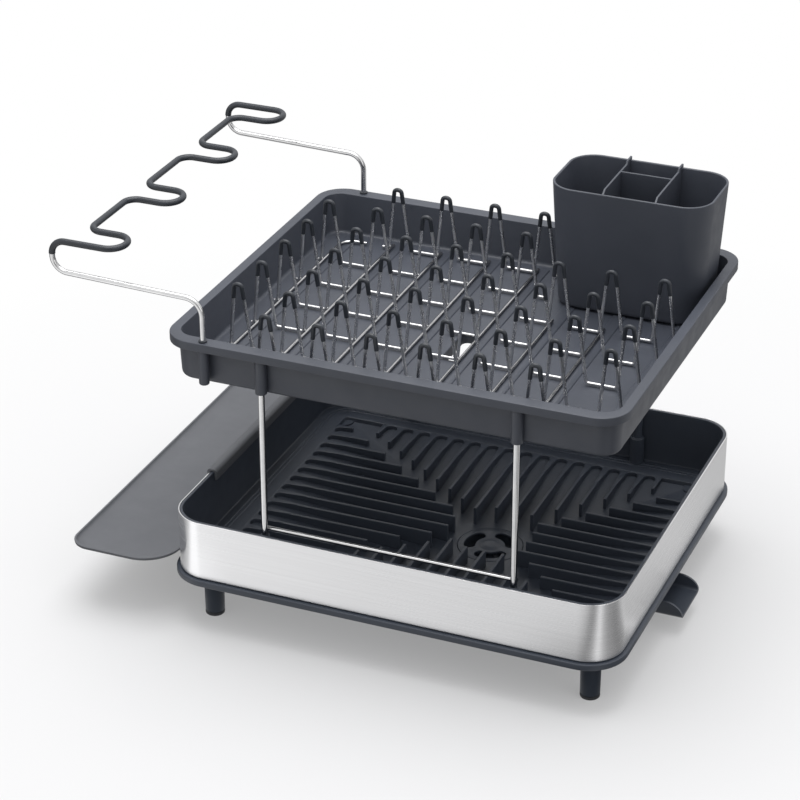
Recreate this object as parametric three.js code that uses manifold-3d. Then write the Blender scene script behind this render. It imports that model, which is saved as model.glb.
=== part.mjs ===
// Two-tier dish rack, in millimetres, +Z up, the long front side facing -Y.
// A ribbed basin stands on four feet inside a steel band. Wire legs carry an
// upper tray with a prong rack, a cutlery pot and a glass holder, and a drip
// tray hangs on the basin's left edge. A spout turns under the drain.

import * as THREE from 'three';
import { mergeVertices } from 'three/addons/utils/BufferGeometryUtils.js';
import Module from 'manifold-3d';

const wasm = await Module();
wasm.setup();

// Shared sizes

const clearance = 0.3;
const overrun = 2;
const weld = 1e-4;
const roundOff = 1e-9;
const edge = 0.6;
const cornerSteps = 6;
const wireSides = 6;
const roundSides = 20;
const bendShare = 0.9;

// Base: feet, basin, steel band and drain

const foot = {
  height: 41,
  reach: 48.6,
  topRadius: 9.5,
  bottomRadius: 9.1,
  padHeight: 3.6,
  padEdge: 1.2,
  spigotRadius: 4.6,
  spigotHeight: 6,
  insetX: 30,
  insetY: 34,
};

const band = {
  width: 429,
  depth: 372,
  height: 57.5,
  corner: 34,
  thickness: 1.2,
  groove: 1.4,
};

const basin = {
  overhang: 3.5,
  flangeHeight: 6,
  flangeWall: 3,
  flangePlate: 2.6,
  wall: 2.6,
  draft: 0.8,
  stepRise: 0.6,
  firstStep: 9,
  secondStep: 12.6,
  ledge: 26,
  ledgeDepth: 4,
  floor: 2.6,
  drop: 18,
};

const fins = {
  thickness: 3,
  pitch: 18.2,
  diagonalGap: 11,
  drainClear: 40.5,
  shortest: 8,
  belowLedge: 0.4,
};

const drain = {
  x: 31.8,
  flatHalf: 36,
  radius: 31,
  thickness: 2.1,
  slotInner: 14,
  slotOuter: 25,
  slotTurn: 59,
  domeRadius: 11,
  domeRise: 1.4,
  domeShoulderShare: 0.8,
  pinRadius: 4,
  pinOverhang: 0.65,
  capRadius: 9,
  capThickness: 2.6,
};

const spout = {
  restTurn: -4.2,
  length: 205,
  radius: 27,
  wall: 2.4,
  cupRadius: 35,
  cupGap: 1,
  axisAboveCup: 10.1,
  hubRadius: 8,
  hubHeight: 5.5,
  lipRound: 18,
};

// Legs that carry the upper tray

const leg = {
  radius: 2.9,
  insetX: 95.4,
  insetY: 9.5,
  trayInset: 8.5,
  belowTrayTop: 16.3,
  socketRadius: 7,
  socketHeight: 28,
  sleeveRadius: 4.3,
  sleeveHeight: 27,
  socketFloor: 3,
  barRadius: 2,
  barLift: 1.8,
  barOverhang: 1.5,
};

// Upper tray

const tray = {
  width: 427,
  depth: 370,
  corner: 28,
  height: 43.3,
  rimHeight: 8.2,
  rimPlate: 2.8,
  rimSkirt: 2.5,
  rimInsetX: 6.7,
  rimInsetY: 10.9,
  rimEdge: 0.9,
  bottom: 252,
  wall: 2.6,
  draft: 2,
  floor: 2.4,
  outerRound: 5,
  innerRound: 4,
  ribWidth: 11,
  ribHeight: 1.1,
  ribAhead: 2.5,
  ribSlope: 0.8,
  ribInset: 9,
  bossRadius: 5.3,
  bossLift: 1.7,
  bossPost: 4.7,
  bossPostLift: 2,
};

const trayDrain = {
  left: 1,
  width: 19,
  front: -54,
  length: 59,
  corner: 6,
  collar: 2.4,
  drop: 8.5,
};

// Prong rack in the upper tray

const rack = {
  columns: 8,
  rows: 7,
  leftMargin: 30.6,
  rightMargin: 23.8,
  frontMargin: 13.7,
  backMargin: 22.3,
  wire: 1.3,
  tie: 1.5,
  coat: 1.9,
  coatLength: 14,
  height: 67,
  spread: 21.3,
  tipSpread: 7,
  tipBend: 2.2,
  footBend: 3,
  lean: 4.1,
  stub: 7,
  endStub: 3.4,
  tieStub: 6,
  cornerBend: 14,
};

// Cutlery pot and its divider

const pot = {
  width: 153.6,
  depth: 92,
  corner: 26,
  height: 121.3,
  draft: 7,
  wall: 2.4,
  floor: 2.4,
  bottomRound: 4,
  rimRound: 0.7,
  wallGapX: 6.1,
  wallGapY: 4.5,
};

const divider = {
  thickness: 2,
  spacing: 50,
  crossY: 16.5,
  clearFloor: 10,
  play: 0.6,
  frontCut: 14,
  frontDrop: 8,
  topGap: 1,
  hookRise: 2.2,
  hookReach: 2.6,
  hookDrop: 5,
  hookRun: 6,
};

// Glass holder plugged into the upper tray

const holder = {
  wire: 2.8,
  coat: 3.2,
  postInsetX: 40.5,
  postInsetY: 5.8,
  postDepth: 38,
  armHeight: 44,
  armBend: 16,
  armReach: 131,
  loopHeight: 32.2,
  loopStraight: 3,
  slotWidth: 31,
  slots: 4,
  slotDepth: 51,
  runSetback: 5.8,
  runBend: 12,
};

// Drip tray hooked on the basin's left edge

const drip = {
  width: 101.5,
  length: 383,
  corner: 25,
  height: 6,
  bottom: 60,
  floor: 2.4,
  lip: 2.2,
  cove: 9,
  draft: 2,
  gap: 0.5,
  hookLength: 188,
  hookWall: 2.6,
  hookDrop: 14,
  hookClear: 0.4,
};

// Heights and places that follow from the sizes above

const flangeTop = foot.reach + basin.flangeHeight;
const bandBottom = flangeTop + band.groove;
const bandTop = bandBottom + band.height;
const basinHalfX = band.width / 2 - band.thickness - clearance;
const basinHalfY = band.depth / 2 - band.thickness - clearance;
const basinCorner = band.corner - band.thickness - clearance;
const ledgeTop = bandBottom;
const plateBottom = flangeTop - basin.flangePlate;
const panHalfX = basinHalfX - basin.wall - basin.ledge;
const panHalfY = basinHalfY - basin.wall - basin.ledge;
const panBottom = ledgeTop - basin.drop;
const footX = band.width / 2 - foot.insetX;
const footY = band.depth / 2 - foot.insetY;
const cupTop = panBottom - basin.floor - spout.cupGap;
const spoutAxis = cupTop + spout.axisAboveCup;
const spoutBottom = spoutAxis - spout.radius;
const trayTop = tray.bottom + tray.height;
const legX = band.width / 2 - leg.insetX;
const legY = band.depth / 2 - leg.insetY;
const legTop = trayTop - leg.belowTrayTop;
const trayLegY = tray.depth / 2 - leg.trayInset;
const barZ = bandTop + leg.barLift;
const leanBottom = barZ + 2 * leg.barRadius;
const leanTop = tray.bottom;
const trayFloor = tray.bottom + tray.floor;
const ribTop = trayFloor + tray.ribHeight;
const trayWallX = tray.width / 2 - tray.rimInsetX;
const trayWallY = tray.depth / 2 - tray.rimInsetY;
const trayFloorX = trayWallX - tray.wall - tray.draft;
const trayFloorY = trayWallY - tray.wall - tray.draft;
const pitchX = (2 * trayFloorX - rack.leftMargin - rack.rightMargin) / (rack.columns - 1);
const pitchY = (2 * trayFloorY - rack.frontMargin - rack.backMargin) / (rack.rows - 1);
const footZ = ribTop + clearance + rack.wire;
const legSlope = (rack.spread - rack.tipSpread) / 2 / rack.height;
const footTurn = Math.PI / 2 - Math.atan(legSlope);
const footRun = rack.footBend * Math.tan(footTurn / 2);
const tieReach = rack.wire + rack.tie + clearance + (rack.tie - rack.wire) * Math.cos(footTurn / 2);
const tieOffset = tieReach / Math.sin(footTurn / 2) - footRun;
const potBottom = ribTop + clearance;
const potTop = potBottom + pot.height;
const potX = trayFloorX - pot.wallGapX - pot.width / 2 + pot.draft;
const potY = trayFloorY - pot.wallGapY - pot.depth / 2 + pot.draft;
const postX = holder.postInsetX - tray.width / 2;
const postY = tray.depth / 2 - holder.postInsetY;
const armEnd = postX - holder.armReach;
const armZ = trayTop + holder.armHeight;
const loopZ = armZ + holder.loopHeight;

// Materials

const plastic = () => new THREE.MeshStandardMaterial({ color: 0x3c424c, roughness: 0.6, metalness: 0 });
const darkPlastic = () => new THREE.MeshStandardMaterial({ color: 0x262b34, roughness: 0.55, metalness: 0 });
const greyPlastic = () => new THREE.MeshStandardMaterial({ color: 0x767a7e, roughness: 0.7, metalness: 0 });
const rubber = () => new THREE.MeshStandardMaterial({ color: 0x23272e, roughness: 0.85, metalness: 0 });
const steel = () => new THREE.MeshStandardMaterial({ color: 0xd3d3d4, roughness: 0.32, metalness: 1 });
const chrome = () => new THREE.MeshStandardMaterial({ color: 0xe6e6e6, roughness: 0.08, metalness: 1 });
const coating = () => new THREE.MeshStandardMaterial({ color: 0x33383f, roughness: 0.5, metalness: 0 });

// Joining and cutting

function solid(geometry) {
  const bare = geometry.clone();
  bare.deleteAttribute('normal');
  bare.deleteAttribute('uv');
  const merged = mergeVertices(bare, weld);
  const vertProperties = new Float32Array(merged.attributes.position.array);
  const triVerts = new Uint32Array(merged.index.array);
  return new wasm.Manifold(new wasm.Mesh({ numProp: 3, vertProperties, triVerts }));
}

function geometryOf(body) {
  const mesh = body.getMesh();
  const geometry = new THREE.BufferGeometry();
  geometry.setAttribute('position', new THREE.BufferAttribute(new Float32Array(mesh.vertProperties), 3));
  geometry.setIndex(new THREE.BufferAttribute(new Uint32Array(mesh.triVerts), 1));
  geometry.computeVertexNormals();
  return geometry;
}

function joined(first, ...others) {
  return others.reduce((whole, part) => whole.add(part), first);
}

function cut(first, ...others) {
  return others.reduce((whole, part) => whole.subtract(part), first);
}

// Outlines

function roundedOutline(halfX, halfY, radius, steps = cornerSteps) {
  const centers = [
    [halfX - radius, halfY - radius, 0],
    [radius - halfX, halfY - radius, 1],
    [radius - halfX, radius - halfY, 2],
    [halfX - radius, radius - halfY, 3],
  ];
  const points = [];
  for (const [x, y, quarter] of centers) {
    for (let k = 0; k <= steps; k += 1) {
      const turn = (quarter + k / steps) * Math.PI / 2;
      points.push(new THREE.Vector2(x + radius * Math.cos(turn), y + radius * Math.sin(turn)));
    }
  }
  return points;
}

// A closed body through rounded rectangles stacked along Z
function loft(levels, steps = cornerSteps) {
  const positions = [];
  const rings = levels.map((level) => roundedOutline(level.x, level.y, level.r, steps));
  const count = rings[0].length;
  rings.forEach((ring, i) => ring.forEach((p) => positions.push(p.x, p.y, levels[i].z)));
  const index = [];
  for (let i = 0; i + 1 < rings.length; i += 1) {
    for (let k = 0; k < count; k += 1) {
      const a = i * count + k;
      const b = i * count + (k + 1) % count;
      index.push(a, b, a + count, b, b + count, a + count);
    }
  }
  for (const [ring, flip] of [[0, true], [rings.length - 1, false]]) {
    for (let k = 1; k + 1 < count; k += 1) {
      const a = ring * count;
      index.push(a, flip ? a + k + 1 : a + k, flip ? a + k : a + k + 1);
    }
  }
  const geometry = new THREE.BufferGeometry();
  geometry.setAttribute('position', new THREE.BufferAttribute(new Float32Array(positions), 3));
  geometry.setIndex(index);
  return solid(geometry);
}

// A flat outline given a thickness along Z
function extruded(shape, depth) {
  return new THREE.ExtrudeGeometry(shape, { depth, bevelEnabled: false });
}

function slab(outline, low, high) {
  return solid(extruded(new THREE.Shape(outline), high - low).translate(0, 0, low));
}

function roundedSlab(halfX, halfY, radius, low, high, steps = cornerSteps) {
  return slab(roundedOutline(halfX, halfY, radius, steps), low, high);
}

function box(x0, x1, y0, y1, z0, z1) {
  const geometry = new THREE.BoxGeometry(x1 - x0, y1 - y0, z1 - z0);
  return solid(geometry.translate((x0 + x1) / 2, (y0 + y1) / 2, (z0 + z1) / 2));
}

// A round body from a profile of radius and height pairs
function turned(profile, sides = roundSides) {
  const points = profile.map(([r, z]) => new THREE.Vector2(r, z));
  return solid(new THREE.LatheGeometry(points, sides).rotateX(Math.PI / 2));
}

function rod(radius, low, high, sides = roundSides) {
  return turned([[0, low], [radius, low], [radius, high], [0, high]], sides);
}

// A rod with both ends chamfered
function dressedRod(radius, low, high, trim, sides = roundSides) {
  return turned([
    [0, low],
    [radius - trim, low],
    [radius, low + trim],
    [radius, high - trim],
    [radius - trim, high],
    [0, high],
  ], sides);
}

// Wires

// A path through given points, one step of the sweep to each point
class Route extends THREE.Curve {
  constructor(points) {
    super();
    this.points = points;
  }

  getPoint(t, target = new THREE.Vector3()) {
    const at = t * (this.points.length - 1);
    const i = Math.min(Math.floor(at + roundOff), this.points.length - 2);
    return target.lerpVectors(this.points[i], this.points[i + 1], at - i);
  }

  getPointAt(u, target) {
    return this.getPoint(u, target);
  }

  getTangentAt(u, target = new THREE.Vector3()) {
    const i = Math.round(u * (this.points.length - 1));
    const before = this.points[Math.max(i - 1, 0)];
    const here = this.points[i];
    const after = this.points[Math.min(i + 1, this.points.length - 1)];
    const incoming = here.clone().sub(before).normalize();
    const outgoing = after.clone().sub(here).normalize();
    return target.copy(incoming).add(outgoing).normalize();
  }
}

// Points of a bent wire: each inner corner is rounded to its radius
function bentPath(corners) {
  const path = [corners[0].at];
  for (let i = 1; i + 1 < corners.length; i += 1) {
    const { at, bend, steps } = corners[i];
    const back = corners[i - 1].at.clone().sub(at).normalize();
    const ahead = corners[i + 1].at.clone().sub(at).normalize();
    const half = Math.acos(THREE.MathUtils.clamp(back.dot(ahead), -1, 1)) / 2;
    const run = bend / Math.tan(half);
    const middle = back.clone().add(ahead).normalize();
    const center = at.clone().addScaledVector(middle, bend / Math.sin(half));
    const start = at.clone().addScaledVector(back, run).sub(center);
    const axis = start.clone().cross(at.clone().addScaledVector(ahead, run).sub(center)).normalize();
    const turn = Math.PI - 2 * half;
    for (let k = 0; k <= steps; k += 1) {
      path.push(start.clone().applyAxisAngle(axis, turn * k / steps).add(center));
    }
  }
  path.push(corners[corners.length - 1].at);
  return path;
}

function wire(points, radius, sides = wireSides) {
  const outline = [];
  for (let k = 0; k < sides; k += 1) {
    const turn = 2 * Math.PI * (k + 0.5) / sides;
    outline.push(new THREE.Vector2(radius * Math.cos(turn), radius * Math.sin(turn)));
  }
  const geometry = new THREE.ExtrudeGeometry(new THREE.Shape(outline), {
    steps: points.length - 1,
    extrudePath: new Route(points),
    bevelEnabled: false,
  });
  return solid(geometry);
}

const at = (x, y, z) => new THREE.Vector3(x, y, z);

// Group and naming

const dishRack = new THREE.Group();

function place(name, body, material) {
  const mesh = new THREE.Mesh(geometryOf(body), material);
  mesh.name = name;
  dishRack.add(mesh);
  return mesh;
}

const sides = [
  ['left', -1],
  ['right', 1],
];

const ends = [
  ['front', -1],
  ['back', 1],
];

// Basin

// The sunk pan: straight sides under the ledge, then four slopes to a flat around the drain
function pan(grow, top) {
  const shoulder = ledgeTop - basin.ledgeDepth - grow;
  const half = drain.flatHalf + grow;
  const rings = [
    [drain.x - half, drain.x + half, -half, half, panBottom - grow],
    [-panHalfX - grow, panHalfX + grow, -panHalfY - grow, panHalfY + grow, shoulder],
    [-panHalfX - grow, panHalfX + grow, -panHalfY - grow, panHalfY + grow, top],
  ];
  const positions = [];
  for (const [x0, x1, y0, y1, z] of rings) {
    positions.push(x0, y0, z, x1, y0, z, x1, y1, z, x0, y1, z);
  }
  const index = [0, 2, 1, 0, 3, 2];
  for (let i = 0; i + 1 < rings.length; i += 1) {
    for (let k = 0; k < 4; k += 1) {
      const a = i * 4 + k;
      const b = i * 4 + (k + 1) % 4;
      index.push(a, b, b + 4, a, b + 4, a + 4);
    }
  }
  const last = (rings.length - 1) * 4;
  index.push(last, last + 1, last + 2, last, last + 2, last + 3);
  const geometry = new THREE.BufferGeometry();
  geometry.setAttribute('position', new THREE.BufferAttribute(new Float32Array(positions), 3));
  geometry.setIndex(index);
  return solid(geometry);
}

// Where a fin at a distance from the drain's axis may start, clear of the diagonal channel
function finStart(offset, slope) {
  const round = Math.abs(offset) < fins.drainClear
    ? Math.sqrt(fins.drainClear ** 2 - offset ** 2)
    : 0;
  return Math.max(Math.abs(offset) * slope + fins.diagonalGap, round);
}

function finBodies() {
  const bodies = [];
  const low = panBottom - basin.floor;
  const high = ledgeTop - fins.belowLedge;
  const half = fins.thickness / 2;
  const leftReach = panHalfX + drain.x;
  const rightReach = panHalfX - drain.x;
  const leftSlope = leftReach / panHalfY;
  const rightSlope = rightReach / panHalfY;
  const over = basin.floor;
  for (let k = 0; (k + 0.5) * fins.pitch < panHalfY - half; k += 1) {
    const y = (k + 0.5) * fins.pitch;
    const left = finStart(y, leftSlope);
    const right = finStart(y, rightSlope);
    for (const side of [-1, 1]) {
      const y0 = side * y - half;
      const y1 = side * y + half;
      if (leftReach - left > fins.shortest) {
        bodies.push(box(-panHalfX - over, drain.x - left, y0, y1, low, high));
      }
      if (rightReach - right > fins.shortest) {
        bodies.push(box(drain.x + right, panHalfX + over, y0, y1, low, high));
      }
    }
  }
  for (const [side, reach, slope] of [[-1, leftReach, leftSlope], [1, rightReach, rightSlope]]) {
    for (let k = 0; (k + 0.5) * fins.pitch < reach - half; k += 1) {
      const offset = (k + 0.5) * fins.pitch;
      const x = drain.x + side * offset;
      const start = finStart(offset, 1 / slope);
      if (panHalfY - start > fins.shortest) {
        bodies.push(box(x - half, x + half, start, panHalfY + over, low, high));
        bodies.push(box(x - half, x + half, -panHalfY - over, -start, low, high));
      }
    }
  }
  return bodies;
}

function basinBody() {
  const innerX = basinHalfX - basin.wall;
  const innerY = basinHalfY - basin.wall;
  const innerR = basinCorner - basin.wall;
  const firstTop = ledgeTop + 2 * basin.stepRise;
  const secondTop = ledgeTop + basin.stepRise;
  const walls = loft([
    { x: basinHalfX, y: basinHalfY, r: basinCorner, z: plateBottom },
    { x: basinHalfX, y: basinHalfY, r: basinCorner, z: bandTop },
  ]);
  const flangeX = band.width / 2 + basin.overhang;
  const flangeY = band.depth / 2 + basin.overhang;
  const flangeR = band.corner + basin.overhang;
  const flange = loft([
    { x: flangeX - edge, y: flangeY - edge, r: flangeR - edge, z: foot.reach },
    { x: flangeX, y: flangeY, r: flangeR, z: foot.reach + edge },
    { x: flangeX, y: flangeY, r: flangeR, z: flangeTop - edge },
    { x: flangeX - edge, y: flangeY - edge, r: flangeR - edge, z: flangeTop },
  ]);
  const bowl = loft([
    { x: innerX - basin.draft, y: innerY - basin.draft, r: innerR - basin.draft, z: firstTop },
    { x: innerX, y: innerY, r: innerR, z: bandTop - edge },
    { x: innerX + edge, y: innerY + edge, r: innerR + edge, z: bandTop },
    { x: innerX + edge, y: innerY + edge, r: innerR + edge, z: bandTop + overrun },
  ]);
  const high = firstTop + overrun;
  const step = (inset, low) => roundedSlab(innerX - inset, innerY - inset, innerR - inset, low, high);
  const skirt = basin.flangeWall;
  const hollow = roundedSlab(
    flangeX - skirt,
    flangeY - skirt,
    flangeR - skirt,
    foot.reach - overrun,
    plateBottom,
  );
  const outerPan = pan(basin.floor, ledgeTop);
  let body = cut(walls.add(flange), hollow).add(outerPan);
  body = joined(body, ...footBosses());
  body = cut(body, bowl, step(basin.firstStep, secondTop), step(basin.secondStep, ledgeTop));
  body = cut(body, pan(0, ledgeTop + overrun));
  const ribs = finBodies().map((fin) => fin.intersect(pan(basin.floor / 2, ledgeTop)));
  body = joined(body, ...ribs, ...legSockets());
  body = cut(body, ...legBores(), ...spigotBores());
  const holeBottom = panBottom - basin.floor - overrun;
  const hole = rod(drain.radius + clearance, holeBottom, panBottom + overrun, 2 * roundSides);
  return cut(body, hole.translate([drain.x, 0, 0]));
}

function fourCorners(x, y) {
  return sides.flatMap(([, sx]) => ends.map(([, sy]) => [sx * x, sy * y]));
}

function onLegs(body, halfY) {
  return fourCorners(legX, halfY).map(([x, y]) => body.translate([x, y, 0]));
}

function footBosses() {
  const boss = rod(foot.topRadius, foot.height, plateBottom + basin.flangePlate / 2);
  return fourCorners(footX, footY).map(([x, y]) => boss.translate([x, y, 0]));
}

function spigotBores() {
  const top = foot.height + foot.spigotHeight + clearance;
  const bore = rod(foot.spigotRadius + clearance, foot.height - overrun, top);
  return fourCorners(footX, footY).map(([x, y]) => bore.translate([x, y, 0]));
}

function legSockets() {
  const middle = ledgeTop + leg.socketHeight;
  const top = middle + leg.sleeveHeight;
  const socket = turned([
    [0, ledgeTop - basin.floor / 2],
    [leg.socketRadius, ledgeTop - basin.floor / 2],
    [leg.socketRadius, middle - edge],
    [leg.socketRadius - edge, middle],
    [leg.sleeveRadius, middle],
    [leg.sleeveRadius, top],
    [0, top],
  ]);
  const inside = roundedSlab(basinHalfX - edge, basinHalfY - edge, basinCorner - edge, plateBottom, bandTop);
  return onLegs(socket, legY).map((body) => body.intersect(inside));
}

function legBores() {
  const low = ledgeTop + leg.socketFloor;
  return onLegs(rod(leg.radius + clearance, low, bandTop + overrun, wireSides * 2), legY);
}

function bandBody() {
  const outer = loft([
    { x: band.width / 2, y: band.depth / 2, r: band.corner, z: bandBottom },
    { x: band.width / 2, y: band.depth / 2, r: band.corner, z: bandTop },
  ]);
  const inset = band.thickness;
  return cut(outer, roundedSlab(
    band.width / 2 - inset,
    band.depth / 2 - inset,
    band.corner - inset,
    bandBottom - overrun,
    bandTop + overrun,
  ));
}

function footBody() {
  const low = foot.padHeight + clearance;
  const high = foot.height - clearance;
  return turned([
    [0, low],
    [foot.bottomRadius, low],
    [foot.topRadius, high],
    [foot.spigotRadius, high],
    [foot.spigotRadius, foot.height + foot.spigotHeight],
    [0, foot.height + foot.spigotHeight],
  ]);
}

function padBody() {
  const share = Math.SQRT1_2;
  return turned([
    [0, 0],
    [foot.bottomRadius - foot.padEdge, 0],
    [foot.bottomRadius - foot.padEdge * (1 - share), foot.padEdge * (1 - share)],
    [foot.bottomRadius, foot.padEdge],
    [foot.bottomRadius, foot.padHeight],
    [0, foot.padHeight],
  ]);
}

// Drain

function kidney(middleTurn) {
  const half = THREE.MathUtils.degToRad(drain.slotTurn) / 2;
  const width = (drain.slotOuter - drain.slotInner) / 2;
  const ring = (drain.slotOuter + drain.slotInner) / 2;
  const shape = new THREE.Shape();
  const roundEnd = (turn, from) => {
    shape.absarc(ring * Math.cos(turn), ring * Math.sin(turn), width, from, from + Math.PI, false);
  };
  const startTurn = middleTurn - half;
  const endTurn = middleTurn + half;
  shape.absarc(0, 0, drain.slotOuter, startTurn, endTurn, false);
  roundEnd(endTurn, endTurn);
  shape.absarc(0, 0, drain.slotInner, endTurn, startTurn, true);
  roundEnd(startTurn, startTurn + Math.PI);
  return slab(shape.getPoints(6).slice(0, -1), panBottom - drain.thickness - overrun, panBottom + overrun);
}

const kidneyTurns = [50, 170, 290];

function drainPlateBody() {
  const low = panBottom - drain.thickness;
  const pinEnd = spoutBottom - drain.pinOverhang;
  const plate = turned([
    [0, pinEnd],
    [drain.pinRadius, pinEnd],
    [drain.pinRadius, low],
    [drain.radius - edge, low],
    [drain.radius, low + edge],
    [drain.radius, panBottom],
    [drain.domeRadius, panBottom],
    [drain.domeRadius / 2, panBottom + drain.domeRise * drain.domeShoulderShare],
    [0, panBottom + drain.domeRise],
  ], 2 * roundSides);
  const kidneys = kidneyTurns.map((turn) => kidney(THREE.MathUtils.degToRad(turn)));
  return cut(plate, ...kidneys).translate([drain.x, 0, 0]);
}

function drainCapBody() {
  const high = spoutBottom - drain.pinOverhang - clearance;
  return dressedRod(drain.capRadius, high - drain.capThickness, high, edge).translate([drain.x, 0, 0]);
}

// A half-round channel along +X, filled
function channel(radius, length) {
  const geometry = new THREE.CylinderGeometry(radius, radius, length, 2 * roundSides);
  const bar = solid(geometry.rotateZ(Math.PI / 2).translate(length / 2, 0, spoutAxis));
  const reach = radius + overrun;
  return cut(bar, box(-overrun, length + overrun, -reach, reach, spoutAxis, spoutAxis + reach));
}

// Everything above the sloped rim of the channel and its rounded lip
function channelTrim() {
  const high = spoutAxis + spout.radius;
  const shape = new THREE.Shape();
  shape.moveTo(-spout.cupRadius - overrun, cupTop);
  shape.lineTo(spout.cupRadius, cupTop);
  const lipStart = spout.length - spout.lipRound;
  shape.lineTo(lipStart, spoutAxis);
  for (let k = 1; k <= cornerSteps; k += 1) {
    const turn = Math.PI / 2 * (1 - k / cornerSteps);
    shape.lineTo(
      lipStart + spout.lipRound * Math.cos(turn),
      spoutAxis - spout.lipRound * (1 - Math.sin(turn)),
    );
  }
  shape.lineTo(spout.length + overrun, spoutAxis - spout.lipRound);
  shape.lineTo(spout.length + overrun, high);
  shape.lineTo(-spout.cupRadius - overrun, high);
  const depth = 2 * (spout.cupRadius + overrun);
  return solid(extruded(shape, depth).rotateX(Math.PI / 2).translate(0, depth / 2, 0));
}

function spoutBody() {
  const floor = spoutBottom + spout.wall;
  const inner = spout.radius - spout.wall;
  const outside = joined(
    channel(spout.radius, spout.length),
    rod(spout.cupRadius, spoutBottom, cupTop, 2 * roundSides),
  );
  const inside = joined(
    channel(inner, spout.length + overrun),
    rod(spout.cupRadius - spout.wall, floor, spoutAxis, 2 * roundSides),
  );
  const hubTop = spoutBottom + spout.hubHeight;
  const hub = rod(spout.hubRadius, spoutBottom, hubTop);
  const bore = rod(drain.pinRadius + clearance, spoutBottom - overrun, hubTop + overrun);
  const body = cut(outside, inside, channelTrim()).add(hub).subtract(bore);
  return body.rotate([0, 0, spout.restTurn]).translate([drain.x, 0, 0]);
}

// Legs

// Upright in the basin and in the tray, leaning between them as far as their sockets stand apart
function legBody(sideY) {
  const low = ledgeTop + leg.socketFloor + clearance;
  const straight = turned([
    [0, low],
    [leg.radius - edge, low],
    [leg.radius, low + edge],
    [leg.radius, leanBottom],
    [leg.radius, leanTop],
    [leg.radius, legTop - edge],
    [leg.radius - edge, legTop],
    [0, legTop],
  ], wireSides * 2);
  return straight.warp((vertex) => {
    const share = THREE.MathUtils.clamp((vertex[2] - leanBottom) / (leanTop - leanBottom), 0, 1);
    vertex[1] += sideY * (legY + (trayLegY - legY) * share);
  });
}

function barBody() {
  const reach = legX + leg.barOverhang;
  return wire([at(-reach, 0, 0), at(reach, 0, 0)], leg.barRadius, wireSides * 2);
}

// Upper tray

function quarterLevels(halfX, halfY, radius, low, round, steps, inward) {
  const levels = [];
  for (let k = 0; k <= steps; k += 1) {
    const turn = Math.PI / 2 * k / steps;
    const inset = round * (1 - Math.sin(turn));
    levels.push({
      x: halfX - inset,
      y: halfY - inset,
      r: Math.max(radius - inset, inward),
      z: low + round * (1 - Math.cos(turn)),
    });
  }
  return levels;
}

function tieX(column) {
  const last = column === rack.columns - 1;
  return columnX(column) + (last ? 1 : -1) * (rack.spread / 2 - tieOffset);
}

function trayBody() {
  const rimX = tray.width / 2;
  const rimY = tray.depth / 2;
  const wallR = tray.corner - (tray.rimInsetX + tray.rimInsetY) / 2;
  const rimLow = trayTop - tray.rimHeight;
  const { draft, wall } = tray;
  const outer = loft([
    ...quarterLevels(trayWallX - draft, trayWallY - draft, wallR, tray.bottom, tray.outerRound, 3, wall),
    { x: trayWallX, y: trayWallY, r: wallR, z: trayTop - tray.rimPlate / 2 },
  ]);
  const rim = loft([
    { x: rimX, y: rimY, r: tray.corner, z: rimLow },
    { x: rimX, y: rimY, r: tray.corner, z: trayTop - tray.rimEdge },
    { x: rimX - tray.rimEdge, y: rimY - tray.rimEdge, r: tray.corner - tray.rimEdge, z: trayTop },
  ]);
  const under = roundedSlab(
    rimX - tray.rimSkirt,
    rimY - tray.rimSkirt,
    tray.corner - tray.rimSkirt,
    rimLow - overrun,
    trayTop - tray.rimPlate,
  );
  const innerX = trayWallX - wall;
  const innerY = trayWallY - wall;
  const innerR = wallR - wall;
  const inside = loft([
    ...quarterLevels(trayFloorX, trayFloorY, innerR, trayFloor, tray.innerRound, 2, wall),
    { x: innerX, y: innerY, r: innerR, z: trayTop - tray.rimEdge },
    { x: innerX + tray.rimEdge, y: innerY + tray.rimEdge, r: innerR + tray.rimEdge, z: trayTop },
    { x: innerX + tray.rimEdge, y: innerY + tray.rimEdge, r: innerR + tray.rimEdge, z: trayTop + overrun },
  ]);
  const legBoss = rod(tray.bossRadius, tray.bottom + tray.bossLift, trayTop - tray.rimPlate / 2);
  const postBoss = dressedRod(tray.bossPost, tray.bottom + tray.bossPostLift, trayTop - tray.rimEdge, edge);
  const legBore = rod(leg.radius + clearance, tray.bottom - overrun, legTop + clearance, wireSides * 2);
  const postBottom = trayTop - holder.postDepth;
  const postBore = rod(holder.wire + clearance, postBottom - clearance, trayTop + overrun, wireSides * 2);
  const onPosts = (post) => ends.map(([, sy]) => post.translate([postX, sy * postY, 0]));
  const slot = drainSlot(0, trayFloor + 2 * tray.ribHeight, tray.bottom - trayDrain.drop - overrun);
  const collar = drainSlot(trayDrain.collar, trayFloor - tray.floor / 2, tray.bottom - trayDrain.drop);
  let body = joined(cut(rim, under), outer, ...onLegs(legBoss, trayLegY), ...onPosts(postBoss));
  body = cut(body, inside);
  body = joined(body, ...trayRibs(), collar);
  return cut(body, slot, ...onLegs(legBore, trayLegY), ...onPosts(postBore));
}

function drainSlot(grow, high, low) {
  const halfX = trayDrain.width / 2 + grow;
  const halfY = trayDrain.length / 2 + grow;
  const x = trayDrain.left + trayDrain.width / 2;
  const y = trayDrain.front + trayDrain.length / 2;
  return roundedSlab(halfX, halfY, trayDrain.corner + grow, low, high, 4).translate([x, y, 0]);
}

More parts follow.
